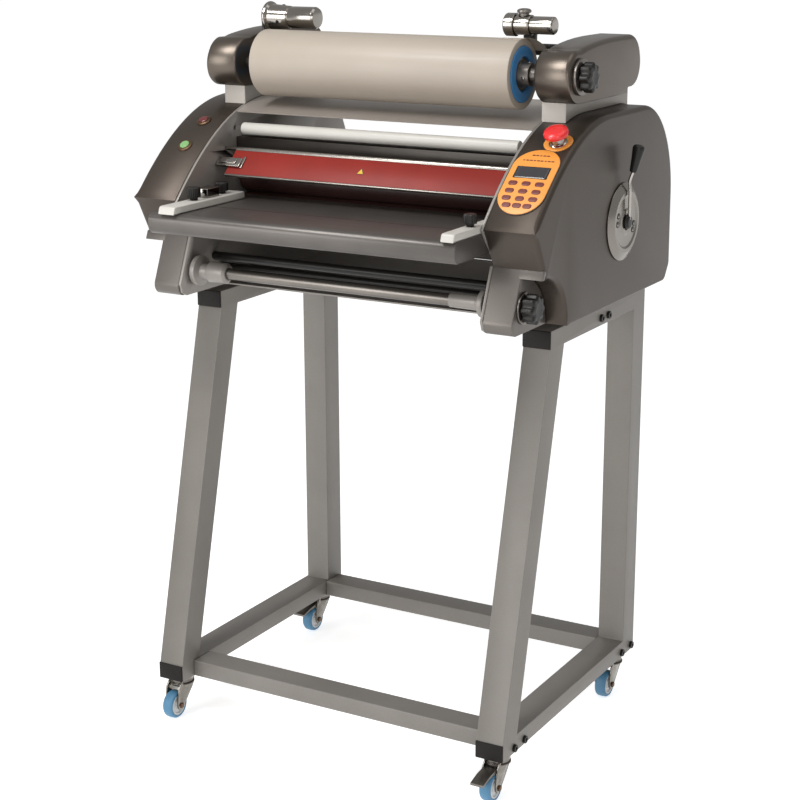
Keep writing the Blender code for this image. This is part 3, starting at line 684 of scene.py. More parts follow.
@dataclass
class Caster:
    """One swivel caster: fork, bearing races, wheel with its bush, and any brake pedal.

    Attributes:
        corner: Which corner of the stand it is under.
        short_fork: Forks shorter than this are centred under their stem.
        stem_back: Distance from a longer fork's back to its stem.
        races_height: Height of the races' foot below the fork's top.
        nut_gap: Gap between the wheel and its axle nuts.
    """

    corner: str
    short_fork: float = 0.045
    stem_back: float = 0.021
    races_height: float = 0.0142
    nut_gap: float = 0.0048

    def build(self) -> None:
        """Dress the fork and pedal, and build the wheel, races and nuts."""
        dress(f"caster_fork_{self.corner}", FORK_METAL, 0.0007)
        pedal = f"brake_pedal_{self.corner}"
        if pedal in FRAME["nodes"]:
            dress(pedal, DULL_STEEL, 0.0008)
        self.wheel()
        self.races()
        self.nuts()

    def wheel(self) -> None:
        """Blue tread and its pale hub, each a closed ring profile."""
        node, roll = f"caster_wheel_{self.corner}", f"caster_roll_{self.corner}"
        centre, radius, half = axle_of(node)
        tread = [(-half + 0.001, radius * 0.74), (-half, radius * 0.78), (-half, radius * 0.90),
                 (-half * 0.72, radius * 0.985), (-half * 0.30, radius), (half * 0.30, radius),
                 (half * 0.72, radius * 0.985), (half, radius * 0.90), (half, radius * 0.78),
                 (half - 0.001, radius * 0.74)]
        settle(Shapes.turned(f"{self.corner}_tread", tread, centre, ACROSS, TREAD, 56,
                             ring=True, crease=60), roll, "caster_tread", node)
        hub = [(-half + 0.0004, radius * 0.755), (-half + 0.0004, radius * 0.66),
               (-half + 0.0030, radius * 0.60), (-half + 0.0030, radius * 0.36),
               (-half - 0.0002, radius * 0.33), (-half - 0.0002, 0.0041),
               (half + 0.0002, 0.0041), (half + 0.0002, radius * 0.33),
               (half - 0.0030, radius * 0.36), (half - 0.0030, radius * 0.60),
               (half - 0.0004, radius * 0.66), (half - 0.0004, radius * 0.755)]
        settle(Shapes.turned(f"{self.corner}_hub", hub, centre, ACROSS, WHEEL_HUB, 48,
                             ring=True, crease=30), roll, "white_plastic")

    def races(self) -> None:
        """Bearing races under the stand, on the swivel's axis."""
        centre, _, _ = axle_of(f"caster_wheel_{self.corner}")
        low, high = span(f"caster_fork_{self.corner}")
        short = high[1] - low[1] < self.short_fork
        stem = (low[1] + high[1]) / 2 if short else high[1] - self.stem_back
        races = Shapes.profile([(0.0, 0.0), (0.0, 0.0225), (0.0022, 0.0225), (0.0022, 0.0190),
                                (0.0045, 0.0205), (0.0085, 0.0205), (0.0085, 0.0150),
                                (0.0140, 0.0120), (0.0140, 0.0)], 0.0005)
        races[:, 0] = high[2] - self.races_height + races[:, 0]
        settle(Shapes.turned(f"{self.corner}_races", races, (centre[0], stem, 0.0), UP,
                             DULL_STEEL, 40), f"caster_swivel_{self.corner}", "bright_steel")

    def nuts(self) -> None:
        """Hexagonal nuts on the two ends of the axle."""
        centre, _, half = axle_of(f"caster_wheel_{self.corner}")
        for tag, side in SIDES:
            nut = np.array([(0.0, 0.0), (0.0, 0.0052), (0.0030, 0.0052), (0.0036, 0.0044),
                            (0.0036, 0.0)])
            place = centre + np.array([side * (half + self.nut_gap), 0, 0])
            settle(Shapes.turned(f"{self.corner}_{tag}_axle_nut", nut, place, (side, 0, 0),
                                 BRONZE, 6, crease=20), f"caster_swivel_{self.corner}",
                   "bright_steel")


@dataclass
class Housings:
    """The two curved end covers, their side plates and the take-up boxes.

    Attributes:
        fold: Radius of the fold between the front and the outer side.
        tail: Height that the rounded back falls through below the crown.
        box_face: Distance of the take-up boxes' outer faces from the middle.
        lip_start: Distance of the boxes' upper lips' inner ends from the middle.
        screw_sink: How far the foot screws are sunk into the outer faces.
    """

    fold: float = 0.0085
    tail: float = 0.1675
    box_face: float = 0.3414
    lip_start: float = 0.3375
    screw_sink: float = 0.0023

    def build(self) -> None:
        """Build both covers and dress the plates and boxes between them."""
        for tag, side in SIDES:
            dress(f"{tag}_side_plate", PANEL_PAINT, 0.0006)
            self.take_up_box(tag, side)
            self.cover(tag, side)
            self.screws(tag, side)
        for node in ("base_tray", "rear_panel"):
            dress(node, PANEL_PAINT, 0.0006)

    def outline(self, node: str) -> tuple[Array, Array]:
        """Side view of a cover, front curve first, and its fold radius at each point.

        Args:
            node: CAD node that gives the cover's box.

        Returns:
            (n, 2) outline and n fold radii, which fade towards sharp corners.
        """
        low, high = span(node)
        nose, rear, base, crown = low[1], high[1], low[2], high[2]
        y = np.linspace(nose, CROWN_FRONT, 40)
        front = np.stack([y, crown - FRONT_CURL * (CROWN_FRONT - y) ** 2], 1)
        flat = np.stack([np.linspace(CROWN_FRONT, CROWN_BACK, 8)[1:-1], np.full(6, crown)], 1)
        shin = crown - self.tail
        back = Shapes.arc((CROWN_BACK, shin), rear - CROWN_BACK, 90, 0, 28, self.tail)
        foot = Shapes.rounded([(rear, shin), (rear, base + 0.027), (rear - 0.022, base),
                               (rear - 0.05, base)], 0.016, 5)[6:18]
        floor = np.stack([np.linspace(rear - 0.045, 0.155, 16), np.full(16, base)], 1)
        notch = Shapes.arc((0.058, base), 0.085, 0, 90, 20, 0.088)
        under = np.linspace((0.0600, 0.8708), (nose + 0.003, front[0, 1] - 0.004), 10)
        outline = np.vstack([front, flat, back, foot, floor, notch, under])
        sharp = np.array([front[0], notch[0], notch[-1]])
        reach = np.linalg.norm(outline[:, None] - sharp[None], axis=2).min(1)
        below = np.clip((outline[:, 1] - base) / 0.06, 0.0, 1.0)
        fade = np.clip(reach / (1.6 * self.fold), 0.10, 1.0) * (0.35 + 0.65 * below)
        return outline, self.fold * fade

    def cover(self, tag: str, side: float) -> None:
        """Painted cover: the outline carried out to a face that meets it in a wide fold.

        Args:
            tag: left or right.
            side: -1 or 1.
        """
        node = f"{tag}_cover"
        near, far = inner_outer(node, side)
        outline, fold = self.outline(node)
        settle(Shapes.slab(f"{tag}_cover_skin", outline, near, far, fold, HOUSING_PAINT, 8,
                           crease=50), "machine", "housing_paint", node)

    def take_up_box(self, tag: str, side: float) -> None:
        """Folded sheet box under the nose: raked flat front, wide bottom fold, and a lip.

        Args:
            tag: left or right.
            side: -1 or 1.
        """
        node = f"{tag}_take_up_housing"
        near, far = inner_outer(node, side)
        low, high = span(node)
        base = low[2]
        bend = Shapes.rounded([(0.0660, high[2]), (0.0545, high[2]), (0.0119, base),
                               (0.0700, base)], [0.0008, 0.0008, 0.0165, 0.0008], 8)[:27]
        bulge = Shapes.arc((0.057, base), 0.0850, 0, 90, 16, 0.0875)
        settle(Shapes.slab(f"{tag}_take_up_box", np.vstack([bend, bulge]), near,
                           side * self.box_face, 0.0013, BOX_PAINT, 4, inner_edge=0.0012,
                           crease=32), "machine", "housing_paint", node)
        lip = Shapes.rounded([(0.0570, 0.8682), (0.0660, high[2]), (0.0545, high[2]),
                              (0.0485, 0.8682)], 0.0008, 3)
        settle(Shapes.slab(f"{tag}_take_up_lip", lip, side * self.lip_start, far, 0.0009,
                           BOX_PAINT, 3, inner_edge=0.0003, crease=32), "machine",
               "housing_paint")

    def screws(self, tag: str, side: float) -> None:
        """Two screws along the foot of a cover's outer face.

        Args:
            tag: left or right.
            side: -1 or 1.
        """
        _, face = inner_outer(f"{tag}_cover", side)
        low, _ = span(f"{tag}_cover")
        for i, y in enumerate((0.222, 0.4998)):
            place = np.array([face - side * self.screw_sink, y, low[2] + 0.0078])
            screw(f"{tag}_cover_screw_{i}", place, (side, 0, 0), "machine", 0.0042, CHROME)

    def on_front(self, y: Array | float) -> tuple[Array, Array]:
        """Height and unit (y, z) normal of the curved front.

        The height is crown - curl * fall^2 and the slope 2 * curl * fall, where fall is the
        distance from y back to the start of the level crown.

        Args:
            y: Distance back from the machine's front.

        Returns:
            Heights, and normals stacked in the last axis.
        """
        _, high = span("right_cover")
        fall = CROWN_FRONT - np.asarray(y, float)
        slope = 2 * FRONT_CURL * fall
        length = np.sqrt(1 + slope ** 2)
        return (high[2] - FRONT_CURL * fall ** 2,
                np.stack([-slope / length, 1 / length], -1))


@dataclass
class Shoulders:
    """The two brackets that carry the film, with their neck boxes and chuck mounts.

    Attributes:
        inner: Distance of the brackets' inner faces from the middle.
        outer: Distance of their outer faces.
        neck_inner: Distance of the neck boxes' inner faces.
        neck_outer: Distance of their outer faces.
        mount_edge: Edge radius of the chuck mounts.
    """

    inner: float = 0.2856
    outer: float = 0.3466
    neck_inner: float = 0.2867
    neck_outer: float = 0.3296
    mount_edge: float = 0.001

    def build(self) -> None:
        """Build both brackets, the ear on the left and the collar on the right."""
        for tag, side in SIDES:
            self.bracket(tag, side)
        self.ear()
        self.collar()

    def bracket(self, tag: str, side: float) -> None:
        """Drum-fronted bracket with a rounded inner top edge, on its light neck box.

        Args:
            tag: left or right.
            side: -1 or 1.
        """
        node = f"{tag}_shoulder"
        drum = Shapes.arc((0.240, 1.160), 0.0425, 270, 103, 32)
        top = np.array([(0.2480, 1.2010), (0.2575, 1.2034), (0.2700, 1.2055), (0.284, 1.2072),
                        (0.300, 1.2090), (0.316, 1.2106), (0.345, 1.2125), (0.376, 1.2135),
                        (0.410, 1.2136), (0.435, 1.2135)])
        rear = Shapes.arc((0.4495, 1.1705), 0.043, 88, -90, 34)
        step = np.array([(0.4400, 1.1275), (0.4374, 1.1250), (0.4374, 1.1190), (0.4355, 1.1175),
                         (0.38, 1.1175), (0.30, 1.1175)])
        outline = np.vstack([drum, top, rear, step])
        height = np.clip((outline[:, 1] - 1.13) / 0.05, 0.12, 1.0)
        piece = Shapes.slab(f"{tag}_shoulder_skin", outline, side * self.inner, side * self.outer,
                            0.0080 * height, CASTING_PAINT, 6, inner_edge=0.0030, crease=50)
        settle(piece, "machine", "casting_paint", node)
        y = np.linspace(0.228, CROWN_FRONT, 10)
        neck = np.vstack([[(0.228, 1.1185)],
                          np.stack([y, 1.0978 - FRONT_CURL * (CROWN_FRONT - y) ** 2], 1),
                          Shapes.arc((CROWN_BACK, 0.930), 0.1345, 90, 75, 8, 0.1680),
                          [(0.4785, 1.1185)]])
        settle(Shapes.slab(f"{tag}_neck_box", neck, side * self.neck_inner,
                           side * self.neck_outer, 0.0012, NECK_METAL, 3, crease=30),
               "machine", "panel_paint")

    def ear(self) -> None:
        """Sloping arm that holds the left chuck's pin."""
        foot = np.array([(0.283, 1.175), (0.307, 1.175)])
        outline = np.vstack([foot, Shapes.arc(CHUCK_AXIS, 0.010, 0, 180, 16)])
        settle(Shapes.slab("left_chuck_arm", outline, -0.2866, -0.2796, self.mount_edge, BLACK,
                           2), "machine", "casting_paint")

    def collar(self) -> None:
        """Clamp collar for the right chuck, with its post, arm and dome-topped lock knob."""
        centre = (0.0, *CHUCK_AXIS)
        ring = Shapes.rounded([(0.2083, 0.0103), (0.2357, 0.0103), (0.2357, 0.0165),
                               (0.2083, 0.0165)], 0.0010, 3)
        settle(Shapes.turned("right_chuck_collar", ring, centre, ACROSS, CHROME, 64,
                             ring=True), "machine", "bright_steel")
        dome = Shapes.profile([(0.0140, 0.0), (0.0140, 0.0085), (0.0190, 0.0085),
                               (0.0200, 0.0118), (0.0235, 0.0118), (0.0256, 0.0090),
                               (0.0266, 0.0045), (0.0268, 0.0)], 0.0008)
        settle(Shapes.turned("right_chuck_lock", dome, (0.2210, *CHUCK_AXIS), UP,
                             DULL_STEEL, 48), "machine", "bright_steel")
        post = Shapes.rounded([(0.3085, 1.186), (0.3250, 1.186), (0.3250, 1.240),
                               (0.3085, 1.240)], 0.002, 3)
        settle(Shapes.slab("right_chuck_post", post, 0.2132, 0.2312, self.mount_edge, BLACK, 2),
               "machine", "casting_paint")
        arm = Shapes.rounded([(0.309, 1.185), (0.326, 1.185), (0.326, 1.203), (0.309, 1.203)],
                             0.002, 3)
        settle(Shapes.slab("right_chuck_arm", arm, 0.2309, 0.2860, self.mount_edge, BLACK, 2),
               "machine", "casting_paint")


@dataclass
class Supply:
    """Film roll on its core and shaft, its brake knob, and the two spare-roll chucks.

    Attributes:
        axle: Radius of the bare supply shaft.
        core_bore: Inner radius of the core.
        sheet: Thickness of the loose film.
        sheet_points: Points along each side of the loose film's grid.
        knob_washer: Thickness of the brake knob's washer.
    """

    axle: float = 0.008
    core_bore: float = 0.0280
    sheet: float = 0.00028
    sheet_points: int = 14
    knob_washer: float = 0.0057

    def build(self) -> None:
        """Build everything above the covers that turns."""
        self.roll()
        self.knob()
        self.chucks()

    def roll(self) -> None:
        """Wound film, its blue core and the shaft with its end hubs."""
        centre, radius, half = axle_of("film_roll")
        core_c, core_r, core_half = axle_of("film_core")
        way = ACROSS
        film = Shapes.rounded([(-half, core_r + 0.0002), (half, core_r + 0.0002), (half, radius),
                               (-half, radius)], 0.0009, 3)
        settle(Shapes.turned("film_winding", film, centre, way, FILM, 128, ring=True),
               "film_supply", "film", "film_roll")
        core = Shapes.rounded([(-core_half, self.core_bore), (core_half, self.core_bore),
                               (core_half, core_r), (-core_half, core_r)], 0.0008, 3)
        settle(Shapes.turned("film_core_tube", core, core_c, way, CORE, 96, ring=True),
               "film_supply", "core_blue", "film_core")
        shaft_c, hub_r, _ = axle_of("supply_shaft")
        low, high = span("supply_shaft")
        thin = self.axle
        axle = Shapes.profile([(low[0], 0.0), (low[0], thin), (-0.250, thin), (-0.250, hub_r),
                               (-0.185, hub_r), (-0.185, thin), (0.185, thin),
                               (0.185, hub_r), (0.2455, hub_r), (0.2470, 0.0245),
                               (0.2470, 0.0195), (0.2640, 0.0185), (0.2640, 0.0110),
                               (0.2740, 0.0105), (0.2740, thin), (high[0], thin),
                               (high[0], 0.0)], 0.0008)
        middle = np.array([0.0, shaft_c[1], shaft_c[2]])
        settle(Shapes.turned("supply_axle", axle, middle, way, DULL_STEEL, 64), "film_supply",
               "bright_steel", "supply_shaft")
        for i, turn in enumerate(np.radians([75, 195, 315])):
            out = np.array([0.0, math.cos(turn), math.sin(turn)])
            screw(f"supply_hub_screw_{i}", middle + (0.2555, 0, 0) + 0.0188 * out, out,
                  "film_supply", 0.0034, CHROME)
        self.tail(middle, radius)

    def tail(self, middle: Array, radius: float) -> None:
        """Loose corner of film standing off the roll at its right end.

        For u along the roll and w round it, the sheet stands at radius
        r + lift * (w * u)^1.5 and angle start - sweep * w, and its right edge reaches out by
        reach * w.

        Args:
            middle: Point on the roll's axis.
            radius: Radius of the roll.
        """
        n = self.sheet_points
        u, w = np.meshgrid(np.linspace(0, 1, n), np.linspace(0, 1, n), indexing="ij")
        angle = np.radians(104.0 - 68.0 * w)
        stand = radius + 0.0004 + 0.0030 * (w * u) ** 1.5
        x = 0.2100 + u * (0.0368 + 0.0215 * w * u)
        upper = np.stack([x, middle[1] + stand * np.cos(angle),
                          middle[2] + stand * np.sin(angle)], -1)
        under = np.stack([x, middle[1] + (stand - self.sheet) * np.cos(angle),
                          middle[2] + (stand - self.sheet) * np.sin(angle)], -1)
        points = np.concatenate([upper.reshape(-1, 3), under.reshape(-1, 3)])
        sheet = np.array(Shapes.quads(n, n, False))
        edge = np.concatenate([np.arange(n), n * np.arange(1, n) + n - 1,
                               (n - 1) * n + np.arange(n - 2, -1, -1),
                               n * np.arange(n - 2, 0, -1)])
        after, below = np.roll(edge, -1), n * n
        rim = np.stack([edge, after, after + below, edge + below], 1)
        faces = np.concatenate([sheet, sheet[:, ::-1] + below, rim]).tolist()
        settle(Shapes.mesh("film_loose_corner", points, faces, FILM, 60), "film_supply", "film")

    def knob(self) -> None:
        """Washer and lobed grip of the supply brake."""
        brake_knob("supply_brake_knob", "supply_brake", self.knob_washer)

    def chucks(self) -> None:
        """Tapered left chuck with its dark stub, and the right spindle."""
        centre = (0.0, *CHUCK_AXIS)
        left = Shapes.profile([(-0.2905, 0.0), (-0.2905, 0.005), (-0.277, 0.005),
                               (-0.277, 0.026), (-0.274, 0.027), (-0.271, 0.0262),
                               (-0.268, 0.0222), (-0.2315, 0.0195), (-0.2310, 0.0178),
                               (-0.2290, 0.0178), (-0.2285, 0.0190), (-0.180, 0.0190),
                               (-0.176, 0.0165), (-0.176, 0.0)], 0.0010)
        settle(Shapes.turned("left_chuck_body", left, centre, ACROSS, CHROME, 96),
               "left_chuck", "bright_steel", "left_chuck")
        for i, turn in enumerate(np.radians([200, 320, 80])):
            out = np.array([0.0, math.cos(turn), math.sin(turn)])
            screw(f"left_chuck_screw_{i}", np.array([-0.248, *CHUCK_AXIS]) + 0.0202 * out, out,
                  "left_chuck", 0.0034, BLACK)
        right = Shapes.profile([(0.190, 0.0), (0.190, 0.0175), (0.192, 0.019), (0.208, 0.019),
                                (0.208, 0.010), (0.236, 0.010), (0.236, 0.0145),
                                (0.275, 0.0145), (0.277, 0.0125), (0.277, 0.0)], 0.0008)
        settle(Shapes.turned("right_chuck_spindle", right, centre, ACROSS, CHROME, 96),
               "right_chuck", "bright_steel", "right_chuck")


def brake_knob(node: str, body: str, washer: float) -> None:
    """Bright washer and a black lobed grip on a shaft's end.

    Args:
        node: CAD knob it replaces.
        body: CAD body it moves with.
        washer: Thickness of the washer.
    """
    low, high = span(node)
    centre = np.array([0.0, (low[1] + high[1]) / 2, (low[2] + high[2]) / 2])
    disc = (high[2] - low[2]) / 2
    start, end = low[0], high[0]
    plate = Shapes.profile([(start, 0.011), (start, disc), (start + washer, disc),
                            (start + washer, 0.011)], 0.0008)
    settle(Shapes.turned(f"{node}_washer", plate, centre, ACROSS, DULL_STEEL, 72, ring=True),
           body, "bright_steel")
    grip = 0.0243
    top = Shapes.profile([(start + washer + 0.0002, 0.0), (start + washer + 0.0002, grip * 0.86),
                          (start + washer + 0.0035, grip), (end - 0.0035, grip),
                          (end - 0.0008, grip * 0.86), (end, grip * 0.55), (end - 0.0012, 0.0)],
                         0.0014)
    settle(Shapes.turned(f"{node}_grip", top, centre, ACROSS, BLACK, 96, lobes=(8, 0.20)),
           body, "black_plastic", node)


@dataclass
class TakeUp:
    """Lower take-up shaft with its cups, brake knob and the two black tie rods behind it, whose
    black is partly painted shade under the table.

    Attributes:
        bore: Radius of the cups' bore.
        rod: Radius of the tie rods.
        rod_half: Half the tie rods' length.
        knob_washer: Thickness of the brake knob's washer.
    """

    bore: float = 0.0102
    rod: float = 0.0075
    rod_half: float = 0.2854
    knob_washer: float = 0.003

    def build(self) -> None:
        """Build the shaft, cups, knob and rods; the rods' black is partly painted shade."""
        centre, radius, _ = axle_of("take_up_shaft")
        low, high = span("take_up_shaft")
        way = ACROSS
        middle = (0.0, centre[1], centre[2])
        shaft = Shapes.profile([(low[0], 0.0), (low[0], radius), (high[0], radius),
                                (high[0], 0.0)], 0.001)
        settle(Shapes.turned("take_up_bar", shaft, middle, way, DULL_STEEL, 48), "take_up",
               "bright_steel", "take_up_shaft")
        left = Shapes.profile([(-0.278, self.bore), (-0.278, 0.026), (-0.269, 0.026),
                               (-0.266, 0.014), (-0.250, 0.013), (-0.250, 0.018),
                               (-0.218, 0.0175), (-0.2137, 0.0135), (-0.2137, self.bore)],
                              0.0012)
        right = Shapes.profile([(0.2137, self.bore), (0.2137, 0.0115), (0.262, 0.0122),
                                (0.2640, 0.0145), (0.2693, 0.0145), (0.2693, 0.0223),
                                (0.278, 0.0223), (0.278, self.bore)], 0.0010)
        for tag, steps in (("left", left), ("right", right)):
            settle(Shapes.turned(f"{tag}_cup", steps, middle, way, PANEL_PAINT, 64, ring=True),
                   "take_up", "bright_steel", f"{tag}_take_up_cup")
        brake_knob("take_up_brake_knob", "take_up_brake", self.knob_washer)
        # The two black tie rods are real rods and also stand in for the shade under the table:
        # their black is partly painted shade.
        for name, y, z in (("upper_tie_rod_and_shade", 0.120, 0.836), ("lower_tie_rod_and_shade", 0.140, 0.814)):
            rod = Shapes.profile([(-self.rod_half, 0.0), (-self.rod_half, self.rod),
                                  (self.rod_half, self.rod), (self.rod_half, 0.0)], 0.0005)
            settle(Shapes.turned(name, rod, (0.0, y, z), way, BLACK, 32), "machine",
                   "black_plastic")


@dataclass
class Rollers:
    """Nip, pull and idler rollers, and the yoke between them.

    Attributes:
        barrel: Half the length of the rubber barrels.
        journal: Radius of their steel journals.
        idler: Half the length of the idler.
        joint: Gap between a barrel and its journals.
        tooth: How far the drive wheel stands below the barrel's surface.
        wheel_start: x where the drive wheel starts.
        wheel_end: x where it ends.
    """

    barrel: float = 0.2755
    journal: float = 0.010
    idler: float = 0.2667
    joint: float = 0.0002
    tooth: float = 0.0012
    wheel_start: float = 0.300
    wheel_end: float = 0.310

    def build(self) -> None:
        """Build each roller from its CAD node's box."""
        for body in ("lower_nip", "upper_nip", "lower_pull", "upper_pull"):
            self.driven(f"{body}_roller", body)
        centre, radius, _ = axle_of("idler_roller")
        idler = Shapes.profile([(-self.idler, 0.0), (-self.idler, radius),
                                (self.idler, radius), (self.idler, 0.0)], 0.001)
        settle(Shapes.turned("idler_sleeve", idler, centre, ACROSS, WHITE, 48), "idler",
               "white_plastic", "idler_roller")
        dress("nip_yoke", DULL_STEEL, 0.0005)

    def driven(self, node: str, body: str) -> None:
        """Rubber barrel with steel journals and a drive wheel.

        Args:
            node: CAD roller.
            body: CAD body it turns with.
        """
        centre, radius, _ = axle_of(node)
        low, high = span(node)
        middle = (0.0, centre[1], centre[2])
        barrel = Shapes.profile([(-self.barrel, 0.0), (-self.barrel, radius),
                                 (self.barrel, radius), (self.barrel, 0.0)], 0.0012)
        settle(Shapes.turned(f"{node}_barrel", barrel, middle, ACROSS, ROLLER, 72), body,
               "roller_rubber", node)
        start, thin, wheel = self.barrel + self.joint, self.journal, radius - self.tooth
        axle = Shapes.profile([(low[0], 0.0), (low[0], thin), (-start, thin), (-start, 0.0)],
                              0.0006)
        settle(Shapes.turned(f"{node}_journal", axle, middle, ACROSS, DULL_STEEL, 32), body,
               "bright_steel")
        drive = Shapes.profile([(start, 0.0), (start, thin), (self.wheel_start, thin),
                                (self.wheel_start, wheel), (self.wheel_end, wheel),
                                (self.wheel_end, thin), (high[0], thin), (high[0], 0.0)],
                               0.0006)
        settle(Shapes.turned(f"{node}_drive", drive, middle, ACROSS, DULL_STEEL, 40), body,
               "bright_steel")


@dataclass
class WorkArea:
    """Feed table with its edge guides, heat guard, heater hood and top cover.

    Attributes:
        nose: Radius of the table's bull nose.
        groove: Half the length of the grooves across the table.
        guide_top: Height of the guides' bars.
        guard: Half the width of the guard's pane.
        pane: Half the thickness of the pane.
        hinge: (y, z) of the guard's hinge rod.
        lip: (y, z) of the guard's lower edge.
        cover: Thickness of the top cover's sheet.
    """

    nose: float = 0.0125
    groove: float = 0.283
    guide_top: float = 0.950
    guard: float = 0.262
    pane: float = 0.002
    hinge: tuple[float, float] = (0.1646, 1.0172)
    lip: tuple[float, float] = (0.1237, 0.9764)
    cover: float = 0.0024

    def build(self) -> None:
        """Build the parts the sheet and film pass over."""
        self.table()
        self.guides()
        self.heat_guard()
        dress("heater_hood", HOOD_METAL, 0.0008)
        self.top()

    def table(self) -> None:
        """Table with a bull-nosed front edge and a chamfered back edge."""
        low, high = span("feed_table")
        bull = self.nose
        nose = Shapes.arc((low[1] + bull, high[2] - bull), bull, 90, 180, 9)
        chin = Shapes.arc((low[1] + bull, low[2] + bull), bull, 180, 250, 8)
        back = np.array([(high[1] - 0.003, low[2]), (high[1], low[2] + 0.001),
                         (high[1], high[2] - 0.002), (high[1] - 0.002, high[2])])
        outline = np.vstack([nose, chin, back])
        settle(Shapes.slab("table_top", outline, low[0], high[0], 0.0008, TABLE_METAL, 2),
               "machine", "panel_paint", "feed_table")
        for name, y, wide in (("guide_slot", 0.0430, 0.0030), ("rear_seam", 0.1480, 0.0012)):
            settle(self.strip(name, y, wide, high[2]), "machine", "black_plastic")

    def strip(self, name: str, y: float, wide: float, z: float) -> bpy.types.Object:
        """Thin dark groove drawn across the table.

        Args:
            name: Object name.
            y: Middle of the groove.
            wide: Its width.
            z: Table height.

        Returns:
            The strip.
        """
        outline = [(y - wide / 2, z - 0.0004), (y + wide / 2, z - 0.0004),
                   (y + wide / 2, z + 0.00015), (y - wide / 2, z + 0.00015)]
        return Shapes.slab(name, np.array(outline), -self.groove, self.groove, 0.0001, INK, 1,
                           inner_edge=0.0001)

    def guides(self) -> None:
        """White edge guides with their clamp blocks and ribbed thumb knobs."""
        for tag, _ in SIDES:
            low, high = span(f"{tag}_edge_guide")
            bar = Shapes.rounded([(low[1], low[2]), (high[1], low[2]),
                                  (high[1], self.guide_top), (low[1] + 0.004, self.guide_top)],
                                 [0.001, 0.001, 0.004, 0.005], 4)
            settle(Shapes.slab(f"{tag}_guide_bar", bar, low[0], high[0], 0.0018, WHITE, 4,
                               inner_edge=0.0014), f"{tag}_guide", "white_plastic",
                   f"{tag}_edge_guide")
            self.thumb(tag)
        low, high = span("left_edge_guide")
        block = Shapes.rounded([(0.040, 0.9495), (0.075, 0.9495), (0.075, high[2]),
                                (0.040, high[2])], 0.0015, 3)
        settle(Shapes.slab("left_guide_block", block, low[0], high[0] - 0.008, 0.001, CHROME, 3),
               "left_guide", "bright_steel")
        far = self.ribbed("left_guide_far_knob", np.array([-0.250, 0.098, 0.0]), 0.0115,
                          0.9502, 0.970)
        settle(far, "left_guide", "black_plastic")

    def thumb(self, tag: str) -> None:
        """Ribbed knob in place of the CAD thumb knob.

        Args:
            tag: left or right.
        """
        low, high = span(f"{tag}_guide_knob")
        centre = (low + high) / 2 * np.array([1, 1, 0])
        radius = (high[0] - low[0]) / 2
        settle(self.ribbed(f"{tag}_thumb", centre, radius, 0.9504, high[2]),
               f"{tag}_guide_clamp", "black_plastic", f"{tag}_guide_knob")

    def ribbed(self, name: str, centre: Array, radius: float, base: float,
               top: float) -> bpy.types.Object:
        """Upright knob with fine grip ribs.

        Args:
            name: Object name.
            centre: Point on the axis.
            radius: Outer radius.
            base: Lower height.
            top: Upper height.

        Returns:
            The knob.
        """
        steps = Shapes.profile([(base, 0.0), (base, radius * 0.55), (base + 0.004, radius * 0.6),
                                (base + 0.005, radius), (top - 0.0015, radius),
                                (top, radius * 0.85), (top, 0.0)], 0.0006)
        return Shapes.turned(name, steps, centre, UP, BLACK, 120, lobes=(24, 0.07))

    def heat_guard(self) -> None:
        """Red translucent guard on its hinge rod, with pale lips, a latch and a triangle."""
        top, lip = np.array(self.hinge), np.array(self.lip)
        along = (lip - top) / np.linalg.norm(lip - top)
        out = np.array([along[1], -along[0]])
        half = self.pane
        pane = Shapes.rounded([top + along * 0.004 + out * half, lip - along * 0.003 + out * half,
                               lip - along * 0.003 - out * half,
                               top + along * 0.004 - out * half], 0.0006, 2)
        settle(Shapes.slab("guard_pane", pane, -self.guard, self.guard, 0.0008, GUARD, 2),
               "guard", "guard_red", "heat_guard")
        for name, start, end, thick in (("guard_upper_lip", -0.003, 0.0045, 0.0026),
                                        ("guard_lower_lip", 0.0545, 0.0580, 0.0024)):
            a, b = top + along * start, top + along * end
            strip = Shapes.rounded([a + out * thick, b + out * thick, b - out * thick,
                                    a - out * thick], 0.0008, 2)
            settle(Shapes.slab(name, strip, -self.guard, self.guard, 0.0008, DULL_STEEL, 2),
                   "guard", "bright_steel")
        rod = Shapes.profile([(-0.288, 0.0), (-0.288, 0.003), (0.288, 0.003), (0.288, 0.0)],
                             0.0004)
        settle(Shapes.turned("guard_rod", rod, (0, *top), ACROSS, STEEL, 24), "guard",
               "bright_steel")
        face = -out if out[0] > 0 else out
        self.triangle(top, along, face)
        self.latch(top, along, face)

    def triangle(self, top: Array, along: Array, out: Array) -> None:
        """Plain yellow triangle with a dark edge, on the middle of the guard.

        Args:
            top: Guard's hinge point.
            along: Direction down the guard.
            out: Direction out of its face.
        """
        for name, size, lift, finish in (("triangle_edge", 0.0085, 0.00225, INK),
                                         ("triangle_face", 0.0066, 0.00245, YELLOW)):
            turn = np.radians([90, 210, 330])
            middle = top + along * 0.030
            x = size * np.cos(turn)
            run = -size * np.sin(turn)
            level = middle + run[:, None] * along
            front, back = level + out * lift, level + out * (lift - 0.0002)
            points = np.vstack([np.column_stack([x, front]), np.column_stack([x, back])])
            faces = [[0, 1, 2], [3, 5, 4], [0, 3, 4, 1], [1, 4, 5, 2], [2, 5, 3, 0]]
            settle(Shapes.mesh(name, points, faces, finish), "guard", "guard_red")

